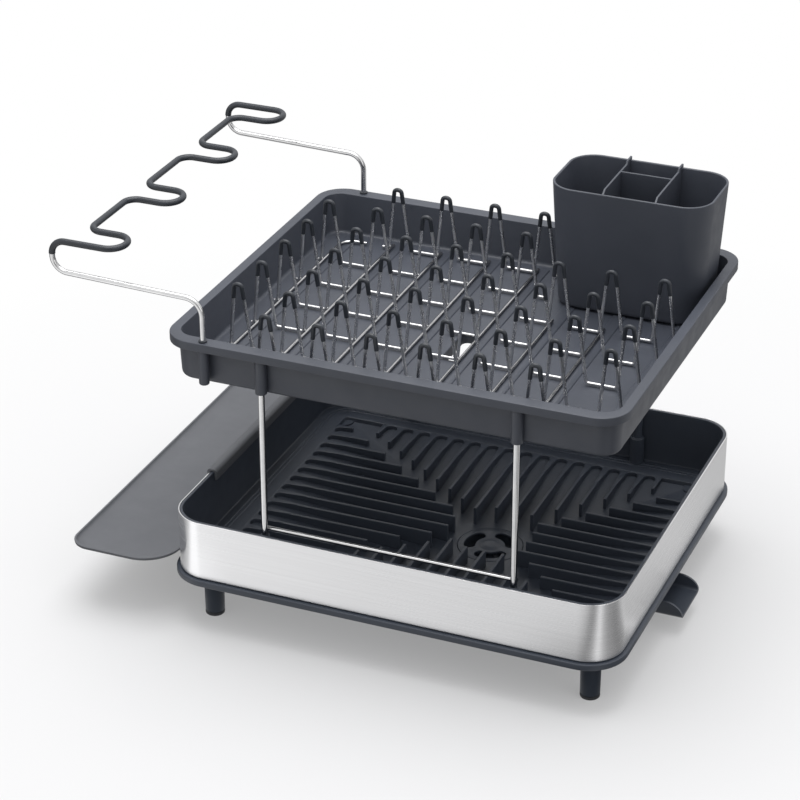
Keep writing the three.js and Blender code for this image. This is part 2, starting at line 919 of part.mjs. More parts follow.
// Low raised strips along Y that carry the rack's wires and the pot
function trayRibs() {
  const ribs = [];
  const run = trayFloorY - tray.ribInset;
  const low = trayFloor - tray.floor / 2;
  for (let column = 0; column < rack.columns; column += 1) {
    const last = column === rack.columns - 1;
    const ahead = last ? tray.ribWidth - tray.ribAhead : tray.ribAhead;
    const x0 = tieX(column) - ahead;
    const x1 = x0 + tray.ribWidth;
    const halfX = (x1 - x0) / 2;
    const foot0 = { x: halfX + tray.ribSlope, y: run + tray.ribSlope, r: tray.ribSlope * 2 };
    const rib = loft([
      { ...foot0, z: low },
      { ...foot0, z: trayFloor },
      { x: halfX, y: run, r: tray.ribSlope, z: ribTop },
    ], 1);
    ribs.push(rib.translate([x0 + halfX, 0, 0]));
  }
  return ribs;
}

// Prong rack

function columnX(column) {
  return rack.leftMargin - trayFloorX + column * pitchX;
}

function rowY(row) {
  return rack.frontMargin - trayFloorY + row * pitchY;
}

// The columns that a row fills: short of the tray's corners in the end rows, and short of the pot
function prongColumns(row) {
  const short = row === 0 || row === rack.rows - 1 ? 1 : 0;
  const besidePot = rowY(row) + rack.wire + clearance > potY - pot.depth / 2;
  const room = potX - pot.width / 2 - clearance - rack.stub - rack.spread / 2 - columnX(0);
  return [short, besidePot ? Math.floor(room / pitchX) : rack.columns - 1 - short];
}

function lastRowOf(column) {
  for (let row = rack.rows - 1; row > 0; row -= 1) {
    const [first, last] = prongColumns(row);
    if (first <= column && column <= last) {
      return row;
    }
  }
  return 0;
}

// The two feet and two shoulders of one prong, leaning towards -Y
function prongCorners(column, row) {
  const x = columnX(column);
  const y = rowY(row);
  const top = footZ + rack.height - rack.coat - rack.wire;
  const tipY = y - rack.lean;
  return {
    footLeft: at(x - rack.spread / 2, y, footZ),
    tipLeft: at(x - rack.tipSpread / 2, tipY, top),
    tipRight: at(x + rack.tipSpread / 2, tipY, top),
    footRight: at(x + rack.spread / 2, y, footZ),
  };
}

function rowBody(row) {
  const [first, last] = prongColumns(row);
  const corners = [];
  const coats = [];
  const turnAtFoot = { bend: rack.footBend, steps: 1 };
  const turnAtTip = { bend: rack.tipBend, steps: 1 };
  for (let column = first; column <= last; column += 1) {
    const { footLeft, tipLeft, tipRight, footRight } = prongCorners(column, row);
    if (column === first) {
      const stub = column === 0 ? rack.endStub : rack.stub;
      corners.push({ at: footLeft.clone().sub(at(stub, 0, 0)) });
    }
    corners.push({ at: footLeft, ...turnAtFoot }, { at: tipLeft, ...turnAtTip });
    corners.push({ at: tipRight, ...turnAtTip }, { at: footRight, ...turnAtFoot });
    if (column === last) {
      const stub = column === rack.columns - 1 ? rack.endStub : rack.stub;
      corners.push({ at: footRight.clone().add(at(stub, 0, 0)) });
    }
    const share = rack.coatLength / tipLeft.distanceTo(footLeft);
    coats.push(wire(bentPath([
      { at: tipLeft.clone().lerp(footLeft, share) },
      { at: tipLeft, ...turnAtTip },
      { at: tipRight, ...turnAtTip },
      { at: tipRight.clone().lerp(footRight, share) },
    ]), rack.coat));
  }
  return joined(wire(bentPath(corners), rack.wire), ...coats);
}

// Straight wires along Y; the outer ones turn inwards at the rounded corners
function tieBody(column) {
  const x = tieX(column);
  const z = ribTop + clearance + rack.tie;
  const outer = column === 0 || column === rack.columns - 1;
  const inward = column === 0 ? 1 : -1;
  const back = rowY(lastRowOf(Math.max(column, 1))) + (column === 0 ? 0 : rack.tieStub);
  const front = rowY(0) - (outer ? 0 : rack.tieStub);
  const inset = pitchX - rack.spread - rack.stub + tieOffset - clearance;
  const turn = { bend: Math.min(rack.cornerBend, inset * bendShare), steps: 4 };
  const corners = [];
  if (outer) {
    corners.push({ at: at(x + inward * inset, front, z) }, { at: at(x, front, z), ...turn });
  } else {
    corners.push({ at: at(x, front, z) });
  }
  if (outer && column === 0) {
    corners.push({ at: at(x, back, z), ...turn }, { at: at(x + inward * inset, back, z) });
  } else {
    corners.push({ at: at(x, back, z) });
  }
  return wire(bentPath(corners), rack.tie);
}

// Cutlery pot

function potHalf(z) {
  const share = (potTop - z) / pot.height;
  return pot.depth / 2 - pot.draft * share;
}

function potBody() {
  const lowX = pot.width / 2 - pot.draft;
  const lowY = pot.depth / 2 - pot.draft;
  const lowR = pot.corner - pot.draft / 2;
  const trim = pot.rimRound;
  const outer = loft([
    ...quarterLevels(lowX, lowY, lowR, potBottom, pot.bottomRound, 2, pot.wall),
    { x: pot.width / 2, y: pot.depth / 2, r: pot.corner, z: potTop - trim },
    { x: pot.width / 2 - trim, y: pot.depth / 2 - trim, r: pot.corner - trim, z: potTop },
  ]);
  const floorX = lowX - pot.wall;
  const floorY = lowY - pot.wall;
  const topX = pot.width / 2 - pot.wall;
  const topY = pot.depth / 2 - pot.wall;
  const topR = pot.corner - pot.wall;
  const inside = loft([
    ...quarterLevels(floorX, floorY, lowR - pot.wall, potBottom + pot.floor, pot.bottomRound, 2, pot.wall),
    { x: topX, y: topY, r: topR, z: potTop - trim },
    { x: topX + trim, y: topY + trim, r: topR + trim, z: potTop },
    { x: topX + trim, y: topY + trim, r: topR + trim, z: potTop + overrun },
  ]);
  return cut(outer, inside).translate([potX, potY, 0]);
}

// One cross plate, hooked over the pot's back edge
function dividerPlate() {
  const low = potBottom + pot.floor + divider.clearFloor;
  const top = potTop - divider.topGap;
  const reach = (z) => potHalf(z) - pot.wall - divider.play;
  const outside = pot.depth / 2 + clearance;
  const hookTop = potTop + divider.hookRise;
  const outline = [
    [-reach(low), low],
    [reach(low), low],
    [reach(potTop), potTop + clearance],
    [outside, potTop + clearance],
    [outside, potTop - divider.hookDrop],
    [outside + divider.hookReach - clearance, potTop - divider.hookDrop],
    [outside + divider.hookReach - clearance, hookTop - edge],
    [outside + divider.hookReach - clearance - edge, hookTop],
    [reach(potTop) - divider.hookRun, hookTop],
    [reach(potTop) - divider.hookRun - divider.hookRise, top],
    [divider.frontCut - reach(top), top],
    [-reach(top - divider.frontDrop), top - divider.frontDrop],
  ].map(([y, z]) => new THREE.Vector2(y, z));
  const plate = extruded(new THREE.Shape(outline), divider.thickness);
  plate.rotateZ(Math.PI / 2).rotateY(Math.PI / 2);
  return solid(plate.translate(-divider.thickness / 2, 0, 0));
}

function dividerBody() {
  const plate = dividerPlate();
  const half = divider.spacing / 2;
  const low = potBottom + pot.floor + divider.clearFloor;
  const cross = box(
    -half,
    half,
    divider.crossY - divider.thickness / 2,
    divider.crossY + divider.thickness / 2,
    low,
    potTop - divider.topGap,
  );
  const body = joined(plate.translate([-half, 0, 0]), plate.translate([half, 0, 0]), cross);
  return body.translate([potX, potY, 0]);
}

// Glass holder

const loopRadius = (holder.loopHeight - holder.loopStraight) / 2;
const loopSteps = 4;

// Where the arm's wire leaves off and the coated wire takes over, on the straight of the loop
function loopEnd(y, side) {
  const z = armZ + loopRadius + (holder.loopStraight + side * clearance) / 2;
  return at(armEnd - loopRadius, y, z);
}

function loopArc(y, fromTurn, toTurn, lift) {
  const points = [];
  for (let k = 0; k <= loopSteps; k += 1) {
    const turn = fromTurn + (toTurn - fromTurn) * k / loopSteps;
    const z = armZ + lift + loopRadius * (1 - Math.cos(turn));
    points.push(at(armEnd - loopRadius * Math.sin(turn), y, z));
  }
  return points;
}

function holderArm(sideY) {
  const y = sideY * postY;
  const path = bentPath([
    { at: at(postX, y, trayTop - holder.postDepth) },
    { at: at(postX, y, armZ), bend: holder.armBend, steps: 4 },
    { at: at(armEnd, y, armZ) },
  ]);
  path.push(...loopArc(y, 0, Math.PI / 2, 0).slice(1), loopEnd(y, -1));
  return wire(path, holder.wire, wireSides + 2);
}

// The coated wire: up from the front arm, in and out of each slot, and down to the back arm
function holderLoop() {
  const halfSlot = holder.slotWidth / 2;
  const farSlot = postY - halfSlot;
  const pitch = 2 * farSlot / (holder.slots - 1);
  const slotEnd = armEnd + holder.slotDepth;
  const runX = armEnd + holder.runSetback;
  const slotTurn = { bend: halfSlot - clearance, steps: loopSteps };
  const runTurn = { bend: holder.runBend, steps: loopSteps - 1 };
  const corners = [];
  for (let k = 0; k < holder.slots; k += 1) {
    const y = k * pitch - farSlot;
    corners.push({ at: at(slotEnd, y - halfSlot, loopZ), ...slotTurn });
    corners.push({ at: at(slotEnd, y + halfSlot, loopZ), ...slotTurn });
    if (k + 1 < holder.slots) {
      corners.push({ at: at(runX, y + halfSlot, loopZ), ...runTurn });
      corners.push({ at: at(runX, y + pitch - halfSlot, loopZ), ...runTurn });
    }
  }
  const front = loopArc(-postY, Math.PI / 2, Math.PI, holder.loopStraight);
  const back = loopArc(postY, Math.PI, Math.PI / 2, holder.loopStraight);
  const run = bentPath([{ at: front.pop() }, ...corners, { at: back.shift() }]);
  const path = [loopEnd(-postY, 1), ...front, ...run, ...back, loopEnd(postY, 1)];
  return wire(path, holder.coat, wireSides + 2);
}

// Drip tray

function dripBody() {
  const right = -band.width / 2 - drip.gap;
  const x = right - drip.width / 2;
  const halfX = drip.width / 2;
  const halfY = drip.length / 2;
  const top = drip.bottom + drip.height;
  const outer = loft([
    { x: halfX - drip.draft, y: halfY - drip.draft, r: drip.corner - drip.draft, z: drip.bottom },
    { x: halfX, y: halfY, r: drip.corner, z: top - edge },
    { x: halfX - edge, y: halfY - edge, r: drip.corner - edge, z: top },
  ]);
  const inset = drip.lip + drip.cove;
  const middle = drip.lip + drip.cove / 2 - drip.floor / 2;
  const floorTop = drip.bottom + drip.floor;
  const inside = loft([
    { x: halfX - inset, y: halfY - inset, r: drip.corner - inset, z: floorTop },
    { x: halfX - middle, y: halfY - middle, r: drip.corner - middle, z: floorTop + drip.floor / 2 },
    { x: halfX - drip.lip, y: halfY - drip.lip, r: drip.corner - drip.lip, z: top },
    { x: halfX - drip.lip, y: halfY - drip.lip, r: drip.corner - drip.lip, z: top + overrun },
  ]);
  const halfHook = drip.hookLength / 2;
  const hookTop = bandTop + clearance + drip.hookWall;
  const outside = right - drip.hookWall;
  const wallInside = basin.wall - basinHalfX + drip.hookClear;
  const upstand = box(outside, right, -halfHook, halfHook, drip.bottom + drip.floor / 2, hookTop);
  const bridge = box(outside, wallInside + drip.hookWall, -halfHook, halfHook, bandTop + clearance, hookTop);
  const lipBottom = bandTop - drip.hookDrop;
  const lip = box(wallInside, wallInside + drip.hookWall, -halfHook, halfHook, lipBottom, hookTop);
  return joined(cut(outer, inside).translate([x, 0, 0]), upstand, bridge, lip);
}

// Assembly

place('basin', basinBody(), darkPlastic());
place('steel_band', bandBody(), steel());
for (const [end, sy] of ends) {
  for (const [side, sx] of sides) {
    place(`foot_${end}_${side}`, footBody().translate([sx * footX, sy * footY, 0]), plastic());
    place(`foot_pad_${end}_${side}`, padBody().translate([sx * footX, sy * footY, 0]), rubber());
    place(`leg_${end}_${side}`, legBody(sy).translate([sx * legX, 0, 0]), chrome());
  }
  const barY = legY - leg.radius - leg.barRadius - clearance;
  place(`leg_bar_${end}`, barBody().translate([0, sy * barY, barZ]), chrome());
}
place('drain_plate', drainPlateBody(), darkPlastic());
place('drain_cap', drainCapBody(), plastic());
place('spout', spoutBody(), plastic());
place('upper_tray', trayBody(), plastic());
for (let row = 0; row < rack.rows; row += 1) {
  place(`prong_row_${row + 1}`, rowBody(row), chrome());
}
for (let column = 0; column < rack.columns; column += 1) {
  place(`rack_tie_${column + 1}`, tieBody(column), chrome());
}
place('cutlery_pot', potBody(), plastic());
place('pot_divider', dividerBody(), plastic());
place('holder_arm_front', holderArm(-1), chrome());
place('holder_arm_back', holderArm(1), chrome());
place('holder_loop', holderLoop(), coating());
place('drip_tray', dripBody(), greyPlastic());

// The origin lies under the middle of the whole object's box
const whole = new THREE.Box3().setFromObject(dishRack, true);
dishRack.position.set(-(whole.min.x + whole.max.x) / 2, -(whole.min.y + whole.max.y) / 2, 0);
dishRack.updateMatrixWorld(true);

export default dishRack;
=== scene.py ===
# %% [markdown]
# # A two-tier dish rack
#
# The rack has a ribbed plastic basin in a brushed steel band, four chromed legs, and an upper tray
# with a wire prong rack, a cutlery pot and a glass holder. A small tray hangs on the left edge and a
# spout turns under the drain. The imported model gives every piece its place. This lesson dresses each
# piece with a finer mesh and a procedural finish, and then lights it like a studio photograph.

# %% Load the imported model
import math

import bmesh
import bpy
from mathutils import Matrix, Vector


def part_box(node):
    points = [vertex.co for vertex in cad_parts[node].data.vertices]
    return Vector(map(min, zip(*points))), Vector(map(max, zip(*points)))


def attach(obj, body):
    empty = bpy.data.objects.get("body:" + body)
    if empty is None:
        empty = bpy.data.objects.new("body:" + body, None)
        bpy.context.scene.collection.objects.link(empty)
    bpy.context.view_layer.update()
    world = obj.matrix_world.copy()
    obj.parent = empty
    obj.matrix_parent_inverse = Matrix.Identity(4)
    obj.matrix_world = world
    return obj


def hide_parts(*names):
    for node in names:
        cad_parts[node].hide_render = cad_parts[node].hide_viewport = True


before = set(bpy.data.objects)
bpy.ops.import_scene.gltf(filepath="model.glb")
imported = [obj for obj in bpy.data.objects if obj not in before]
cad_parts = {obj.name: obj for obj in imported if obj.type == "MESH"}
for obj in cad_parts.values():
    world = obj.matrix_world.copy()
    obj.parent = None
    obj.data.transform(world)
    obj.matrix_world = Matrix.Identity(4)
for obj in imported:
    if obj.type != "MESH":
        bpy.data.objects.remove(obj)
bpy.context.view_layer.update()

# %% [markdown]
# ## Sizes and places
#
# Everything below is written in millimetres from the middle of the basin, because that is how such a
# rack is drawn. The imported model's origin lies under the middle of the whole object instead, so one
# shift along X joins the two. It is measured from the steel band rather than typed.

# %% Millimetres to metres
MM = 0.001
band_low, band_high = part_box("steel_band")
MIDDLE = (band_low[0] + band_high[0]) / 2


def place(x, y, z):
    return (x * MM + MIDDLE, y * MM, z * MM)


def put(name, data):
    """An object that holds the data, linked into the scene."""
    made = bpy.data.objects.new(name, data)
    bpy.context.collection.objects.link(made)
    return made


print("basin's middle lies", round(MIDDLE / MM, 2), "mm right of the origin")

# %% [markdown]
# ## Camera
#
# The photograph was taken from the front right, a little above the rack, with a long lens: its
# parallel edges hardly converge. The angles below come from the basin's corners and feet. A small
# shift keeps the picture's centre where the photograph has it.

# %% Camera at the photograph's angle
AZIMUTH, ELEVATION = math.radians(22.36), math.radians(27.39)
AIM, DISTANCE = (-146.5, 216.3, 56), 2773.3
LENS, SENSOR, SHIFT_X, SHIFT_Y, FAR_CLIP = 120.816, 36, -0.0037, -0.0029, 50
back = Vector((
    math.sin(AZIMUTH) * math.cos(ELEVATION),
    -math.cos(AZIMUTH) * math.cos(ELEVATION),
    math.sin(ELEVATION),
))
camera_data = bpy.data.cameras.new("camera")
camera_data.sensor_width, camera_data.lens, camera_data.clip_end = SENSOR, LENS, FAR_CLIP
camera_data.shift_x, camera_data.shift_y = SHIFT_X, SHIFT_Y
camera = put("camera", camera_data)
camera.location = Vector(place(*AIM)) + back * DISTANCE * MM
camera.rotation_euler = back.to_track_quat("Z", "Y").to_euler()
bpy.context.scene.camera = camera
bpy.context.scene.view_settings.view_transform = "Standard"
print("camera at", [round(v, 3) for v in camera.location])

# %% [markdown]
# ## Building blocks
#
# Most pieces are mouldings whose sections are rounded rectangles: a basin, a tray, a pot. Such a
# piece is a stack of rings with the same number of points, and skinning ring to ring gives clean
# quads that shade well. A profile is a list of corners, each with its own rounding, so that every
# moulded edge catches a thin line of light as real plastic does.

# %% Rounded rings and eased profiles
CORNER_STEPS, FINE_STEPS, LEAST_RADIUS, MOST_RUN = 12, 16, 0.4, 0.49


def ring(half_x, half_y, radius, z, x=0, y=0, steps=CORNER_STEPS):
    """A rounded rectangle. A pair of radii rounds its right and left corners differently."""
    right, left = radius if isinstance(radius, tuple) else (radius, radius)
    points = []
    for sx, sy, quarter in ((1, 1, 0), (-1, 1, 1), (-1, -1, 2), (1, -1, 3)):
        r = max(right if sx > 0 else left, LEAST_RADIUS)
        for k in range(steps + 1):
            turn = (quarter + k / steps) * math.pi / 2
            points.append((
                x + sx * (half_x - r) + r * math.cos(turn),
                y + sy * (half_y - r) + r * math.sin(turn),
                z,
            ))
    return points


def round_ring(radius, z, x=0, y=0, steps=CORNER_STEPS):
    return ring(radius, radius, radius, z, x, y, steps)


def eased(corners, loop=True, steps=4):
    """Corners of (inset, height, rounding) to a smooth profile of (inset, height)."""
    out = []
    count = len(corners)
    for i, (a, z, rounding) in enumerate(corners):
        if rounding == 0 or (not loop and i in (0, count - 1)):
            out.append((a, z))
            continue
        here = Vector((a, z))
        before = Vector(corners[i - 1][:2]) - here
        after = Vector(corners[(i + 1) % count][:2]) - here
        half = before.angle(after) / 2
        run = min(rounding / math.tan(half), before.length * MOST_RUN, after.length * MOST_RUN)
        start = here + before.normalized() * run
        end = here + after.normalized() * run
        for k in range(steps + 1):
            t = k / steps
            point = start * (1 - t) ** 2 + here * (2 * t * (1 - t)) + end * t ** 2
            out.append(tuple(point))
    return out


def skinned(rings, loop=False):
    """A skin from ring to ring. Where the rings don't close in a loop, both ends get a lid."""
    points = [p for one in rings for p in one]
    count, n = len(rings), len(rings[0])
    faces = []
    for i in range(count if loop else count - 1):
        j = (i + 1) % count
        for k in range(n):
            m = (k + 1) % n
            faces.append((i * n + k, i * n + m, j * n + m, j * n + k))
    if not loop:
        faces.append(tuple(reversed(range(n))))
        faces.append(tuple((count - 1) * n + k for k in range(n)))
    return points, faces


def turned(profile, x=0, y=0, steps=40):
    """A round solid from (radius, height) pairs that start and end on its axis."""
    inner = profile[1:-1]
    points = [(x, y, profile[0][1]), (x, y, profile[-1][1])]
    for radius, z in inner:
        for k in range(steps):
            turn = 2 * math.pi * k / steps
            points.append((x + radius * math.cos(turn), y + radius * math.sin(turn), z))
    faces = []
    top = 2 + (len(inner) - 1) * steps
    for k in range(steps):
        m = (k + 1) % steps
        faces += [(0, 2 + m, 2 + k), (1, top + k, top + m)]
        for i in range(len(inner) - 1):
            a = 2 + i * steps
            faces.append((a + k, a + m, a + steps + m, a + steps + k))
    return points, faces


def turned_eased(corners, x=0, y=0, steps=40):
    return turned(eased(corners, loop=False, steps=3), x, y, steps)


print("a ring has", len(ring(10, 10, 2, 0)), "points")

# %% Meshes in their final place
SHARP, SAME_POINT = 38, 1e-7


def gathered(*solids):
    points, faces = [], []
    for more_points, more_faces in solids:
        base = len(points)
        points += more_points
        faces += [tuple(base + i for i in face) for face in more_faces]
    return points, faces


def piece(name, solid, material):
    points, faces = solid
    mesh = bpy.data.meshes.new(name)
    mesh.from_pydata([place(*p) for p in points], [], faces)
    work = bmesh.new()
    work.from_mesh(mesh)
    bmesh.ops.remove_doubles(work, verts=work.verts, dist=SAME_POINT)
    bmesh.ops.recalc_face_normals(work, faces=work.faces)
    work.to_mesh(mesh)
    work.free()
    mesh.shade_smooth()
    mesh.set_sharp_from_angle(angle=math.radians(SHARP))
    mesh.materials.append(material)
    print(name, "has", len(mesh.polygons), "faces")
    return put(name, mesh)


def plain_mesh(made):
    """The mesh that an object's curve or modifiers make."""
    return bpy.data.meshes.new_from_object(
        made.evaluated_get(bpy.context.evaluated_depsgraph_get()))


def stands_for(made, body, *nodes):
    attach(made, body)
    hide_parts(*nodes)


# %% [markdown]
# ## Finishes
#
# The finishes are of four kinds: plastics with the fine grain that a spark-eroded mould leaves, in
# four shades, of which the basin's is its own slate lightened as painted light and the feet's is the
# slate darkened as painted shade; steel brushed along its length; chromed wire, polished or satin,
# with its edges darkened as painted shade; and a soft dip coat and rubber. Each is built from noise on
# object coordinates, so that the grain has a real size in metres and stays put on the piece.

# %% Small helpers for node trees
def feed_all(node, feeds):
    """Each input takes either another node's output or a plain value."""
    for key, value in feeds.items():
        if isinstance(value, bpy.types.NodeSocket):
            node.id_data.links.new(value, node.inputs[key])
        else:
            node.inputs[key].default_value = value


def add_node(tree, kind, feeds=None, **settings):
    node = tree.nodes.new(kind)
    for key, value in settings.items():
        setattr(node, key, value)
    feed_all(node, feeds or {})
    return node


def math_node(tree, operation, a, b=0.0, clamp=False):
    made = add_node(tree, "ShaderNodeMath", {0: a, 1: b}, operation=operation, use_clamp=clamp)
    return made.outputs[0]


def mixed(tree, share, a, b, kind="RGBA"):
    made = add_node(tree, "ShaderNodeMix", {"Factor": share, "A": a, "B": b}, data_type=kind)
    return made.outputs["Result"]


def finish_tree(name):
    material = bpy.data.materials.new(name)
    material.use_nodes = True
    tree = material.node_tree
    coords = add_node(tree, "ShaderNodeTexCoord")
    return material, tree, tree.nodes["Principled BSDF"], coords.outputs["Object"]


# %% Noise, ramps and bumps
def noise(tree, coords, scale, detail=3.0, rough=0.5, stretch=None):
    if stretch:
        mapping = add_node(tree, "ShaderNodeMapping", {"Vector": coords, "Scale": stretch})
        coords = mapping.outputs["Vector"]
    made = add_node(tree, "ShaderNodeTexNoise", {
        "Vector": coords, "Scale": scale, "Detail": detail, "Roughness": rough})
    return made.outputs["Fac"]


def ramp(tree, value, stops):
    node = add_node(tree, "ShaderNodeValToRGB", {"Fac": value})
    while len(node.color_ramp.elements) < len(stops):
        node.color_ramp.elements.new(0.5)
    for element, (at, color) in zip(node.color_ramp.elements, stops):
        element.position = at
        element.color = (*color, 1)
    return node.outputs["Color"]


def spread(tree, value, low, high, start=0.3, end=0.7):
    """A noise's usual range, or any other, stretched to run from low to high."""
    made = add_node(tree, "ShaderNodeMapRange", {
        "Value": value, "From Min": start, "From Max": end, "To Min": low, "To Max": high})
    return made.outputs["Result"]


def bump(tree, height, strength, depth, under=None):
    feeds = {"Height": height, "Strength": strength, "Distance": depth}
    if under:
        feeds["Normal"] = under
    return add_node(tree, "ShaderNodeBump", feeds).outputs["Normal"]


def srgb(r, g, b):
    def linear(v):
        v /= 255
        return v / 12.92 if v <= 0.04045 else ((v + 0.055) / 1.055) ** 2.4
    return (linear(r), linear(g), linear(b))


FINE_DEPTH, SOFT_DEPTH = 0.0001, 0.0003

# %% [markdown]
# Moulded plastic is not one flat colour. Its pigment drifts a little over a hand's width, the mould's
# grain breaks up the gloss, and handling polishes some places. Three noises at three scales do this:
# a broad one for the colour, a middle one for the gloss and a fine one for the grain. A fourth lets
# the surface swell very slightly, as thick walls do when they cool.

# %% Moulded plastic
PIGMENT, WEAR, WAVES, GRAIN = 9, 55, 260, 1900


def moulded(name, dark, light, gloss, grain=0.12, shine=0.6):
    material, tree, shader, coords = finish_tree(name)
    pigment = noise(tree, coords, PIGMENT, 4)
    waves = bump(tree, noise(tree, coords, WAVES, 2), 0.05, SOFT_DEPTH)
    feed_all(shader, {
        "Base Color": ramp(tree, pigment, [(0.3, srgb(*dark)), (0.7, srgb(*light))]),
        "Roughness": spread(tree, noise(tree, coords, WEAR, 5, 0.6), *gloss),
        "Normal": bump(tree, noise(tree, coords, GRAIN, 2), grain, FINE_DEPTH, waves),
        "Specular IOR Level": shine,
    })
    return material


slate = moulded("slate_plastic", (59, 63, 72), (66, 70, 80), (0.42, 0.56))
# The basin's plastic is its own bluish slate made lighter, as painted light that lifts the shade
# inside the pan; the flange, ribs, drain plate, channel ends and spout share it.
basin_slate_with_painted_light = moulded("basin_plastic", (55, 61, 71), (62, 68, 79), (0.36, 0.5), shine=0.5)
# The feet's plastic is the slate made darker and duller: painted shade for the shade under the flange.
foot_slate_painted_shade = moulded("foot_plastic_painted_shade", (31, 39, 50), (37, 45, 57), (0.42, 0.56), shine=0.25)
tray_grey = moulded("side_tray_plastic", (91, 93, 98), (99, 101, 106), (0.5, 0.62), 0.16, 0.5)
print("plastics:", slate.name, basin_slate_with_painted_light.name, foot_slate_painted_shade.name, tray_grey.name)

# %% [markdown]
# Brushed steel carries long hair-fine scratches that all run the same way round the band. A noise
# squeezed hard along Z and stretched along X and Y gives them on every side of the band at once. The
# scratches change the gloss and the surface a little, and the colour only very slightly. A tangent
# round Z lets the gloss spread up and down, across the scratches, as it does on real brushed steel.

# %% Brushed steel
HAIR, STREAK = (14, 14, 3200), (3, 3, 700)


def brushed(name):
    material, tree, shader, coords = finish_tree(name)
    hair = noise(tree, coords, 1, 6, 0.7, HAIR)
    streak = noise(tree, coords, 1, 4, 0.6, STREAK)
    cloud = noise(tree, coords, 6, 3)
    along = add_node(tree, "ShaderNodeTangent", direction_type="RADIAL", axis="Z")
    feed_all(shader, {
        "Base Color": ramp(tree, streak, [(0.25, (0.75, 0.75, 0.76)), (0.75, (0.81, 0.81, 0.82))]),
        "Metallic": 1,
        "Anisotropic": 0.9,
        "Anisotropic Rotation": 0.25,
        "Tangent": along.outputs["Tangent"],
        "Roughness": math_node(tree, "MULTIPLY", spread(tree, hair, 0.88, 1.12),
                               spread(tree, cloud, 0.23, 0.27)),
        "Normal": bump(tree, hair, 0.14, FINE_DEPTH),
    })
    return material


steel = brushed("brushed_steel")
print("steel:", steel.name)

# %% [markdown]
# The wires are chromed, so they are nearly mirrors: what they show is the room. A little unevenness
# in gloss and surface keeps them from looking like glass, and the thin prongs are only satin. The
# tips of the prongs and the glass holder are dipped in a dark, slightly rubbery coat that ripples.

# %% Chrome, dip coat and rubber
def chromed(name, gloss):
    material, tree, shader, coords = finish_tree(name)
    cloud = noise(tree, coords, 120, 4)
    feed_all(shader, {
        "Base Color": ramp(tree, cloud, [(0.3, (0.66, 0.66, 0.67)), (0.7, (0.74, 0.74, 0.74))]),
        "Metallic": 1,
        # The dark edge tint darkens the wires towards their outlines: painted shade standing in for
        # the dark surroundings they mirror there.
        "Specular Tint": (0.35, 0.35, 0.37, 1),
        "Roughness": spread(tree, cloud, *gloss),
        "Normal": bump(tree, noise(tree, coords, 300, 2), 0.02, FINE_DEPTH),
    })
    return material


def dipped(name, dark, light, gloss):
    material, tree, shader, coords = finish_tree(name)
    cloud = noise(tree, coords, 60, 4)
    ripple = bump(tree, noise(tree, coords, 170, 3), 0.08, SOFT_DEPTH)
    feed_all(shader, {
        "Base Color": ramp(tree, cloud, [(0.3, srgb(*dark)), (0.7, srgb(*light))]),
        "Roughness": spread(tree, cloud, *gloss),
        "Normal": bump(tree, noise(tree, coords, 1500, 2), 0.05, FINE_DEPTH, ripple),
    })
    return material


chrome = chromed("polished_chrome", (0.1, 0.17))
satin = chromed("satin_chrome", (0.24, 0.32))
coat = dipped("dip_coat", (38, 42, 48), (46, 50, 57), (0.3, 0.45))
rubber = dipped("foot_rubber", (30, 32, 36), (38, 40, 45), (0.65, 0.85))
print("wires:", chrome.name, satin.name, coat.name, "feet:", rubber.name)

# %% [markdown]
# ## The steel band
#
# One strip of sheet steel, bent round the basin and joined at the back. Its section is a thin upright
# rectangle with softened edges, carried once round a rounded rectangle. The corners need many steps,
# because metal shows every flat spot in its reflections.

# %% Steel band
BAND_X, BAND_Y, BAND_R, BAND_STEPS = 214.5, 186.0, 34.0, 28
BAND_LOW, BAND_HIGH, BAND_WALL, BAND_EDGE = 56.0, 113.5, 1.2, 0.35


def around(half_x, half_y, radius, profile, steps=CORNER_STEPS):
    return [ring(half_x - a, half_y - a, radius - a, z, steps=steps) for a, z in profile]


band_profile = eased([
    (0, BAND_LOW, BAND_EDGE), (0, BAND_HIGH, BAND_EDGE),
    (BAND_WALL, BAND_HIGH, BAND_EDGE), (BAND_WALL, BAND_LOW, BAND_EDGE),
])
band_rings = around(BAND_X, BAND_Y, BAND_R, band_profile, BAND_STEPS)
band = piece("band", skinned(band_rings, loop=True), steel)
stands_for(band, "base", "steel_band")

# %% [markdown]
# ## The basin
#
# One deep moulding: a flange that carries the band, an upright wall, a ledge with two fine steps at
# its foot, and a sunk pan that slopes to the drain. All of it is one closed skin of rings, from the
# rounded rectangles outside to a circle at the drain hole.

# %% Basin skin
FLANGE_X, FLANGE_Y, FLANGE_R, FLANGE_LOW, FLANGE_TOP = 218.0, 189.5, 37.5, 48.6, 54.6
PAN_INSET, PAN_FLAT, PAN_EDGE, PAN_LOW, PAN_WALL = 33.6, 36.0, 52.0, 38.0, 2.6
DRAIN_X, HOLE_R, HOLE_EDGE = 31.8, 31.3, 0.6
LEDGE, STEP_LOW, STEP_HIGH = 56.0, 56.6, 57.2
basin_profile = eased([
    (31, 49.4, 0), (31, PAN_EDGE, 0), (3, PAN_EDGE, 0.5), (3, FLANGE_LOW, 0.6),
    (0, FLANGE_LOW, 1.0), (0, FLANGE_TOP, 1.2), (5, FLANGE_TOP, 0.3), (5, BAND_HIGH, 0.7),
    (7.6, BAND_HIGH, 0.9), (8.4, STEP_HIGH, 1.6), (16.6, STEP_HIGH, 0.5), (17.0, STEP_LOW, 0.3),
    (20.2, STEP_LOW, 0.5), (20.6, LEDGE, 0.3), (PAN_INSET, LEDGE, 1.0),
    (PAN_INSET + 0.8, PAN_EDGE, 0),
], loop=False)
basin_rings = around(FLANGE_X, FLANGE_Y, FLANGE_R, basin_profile)
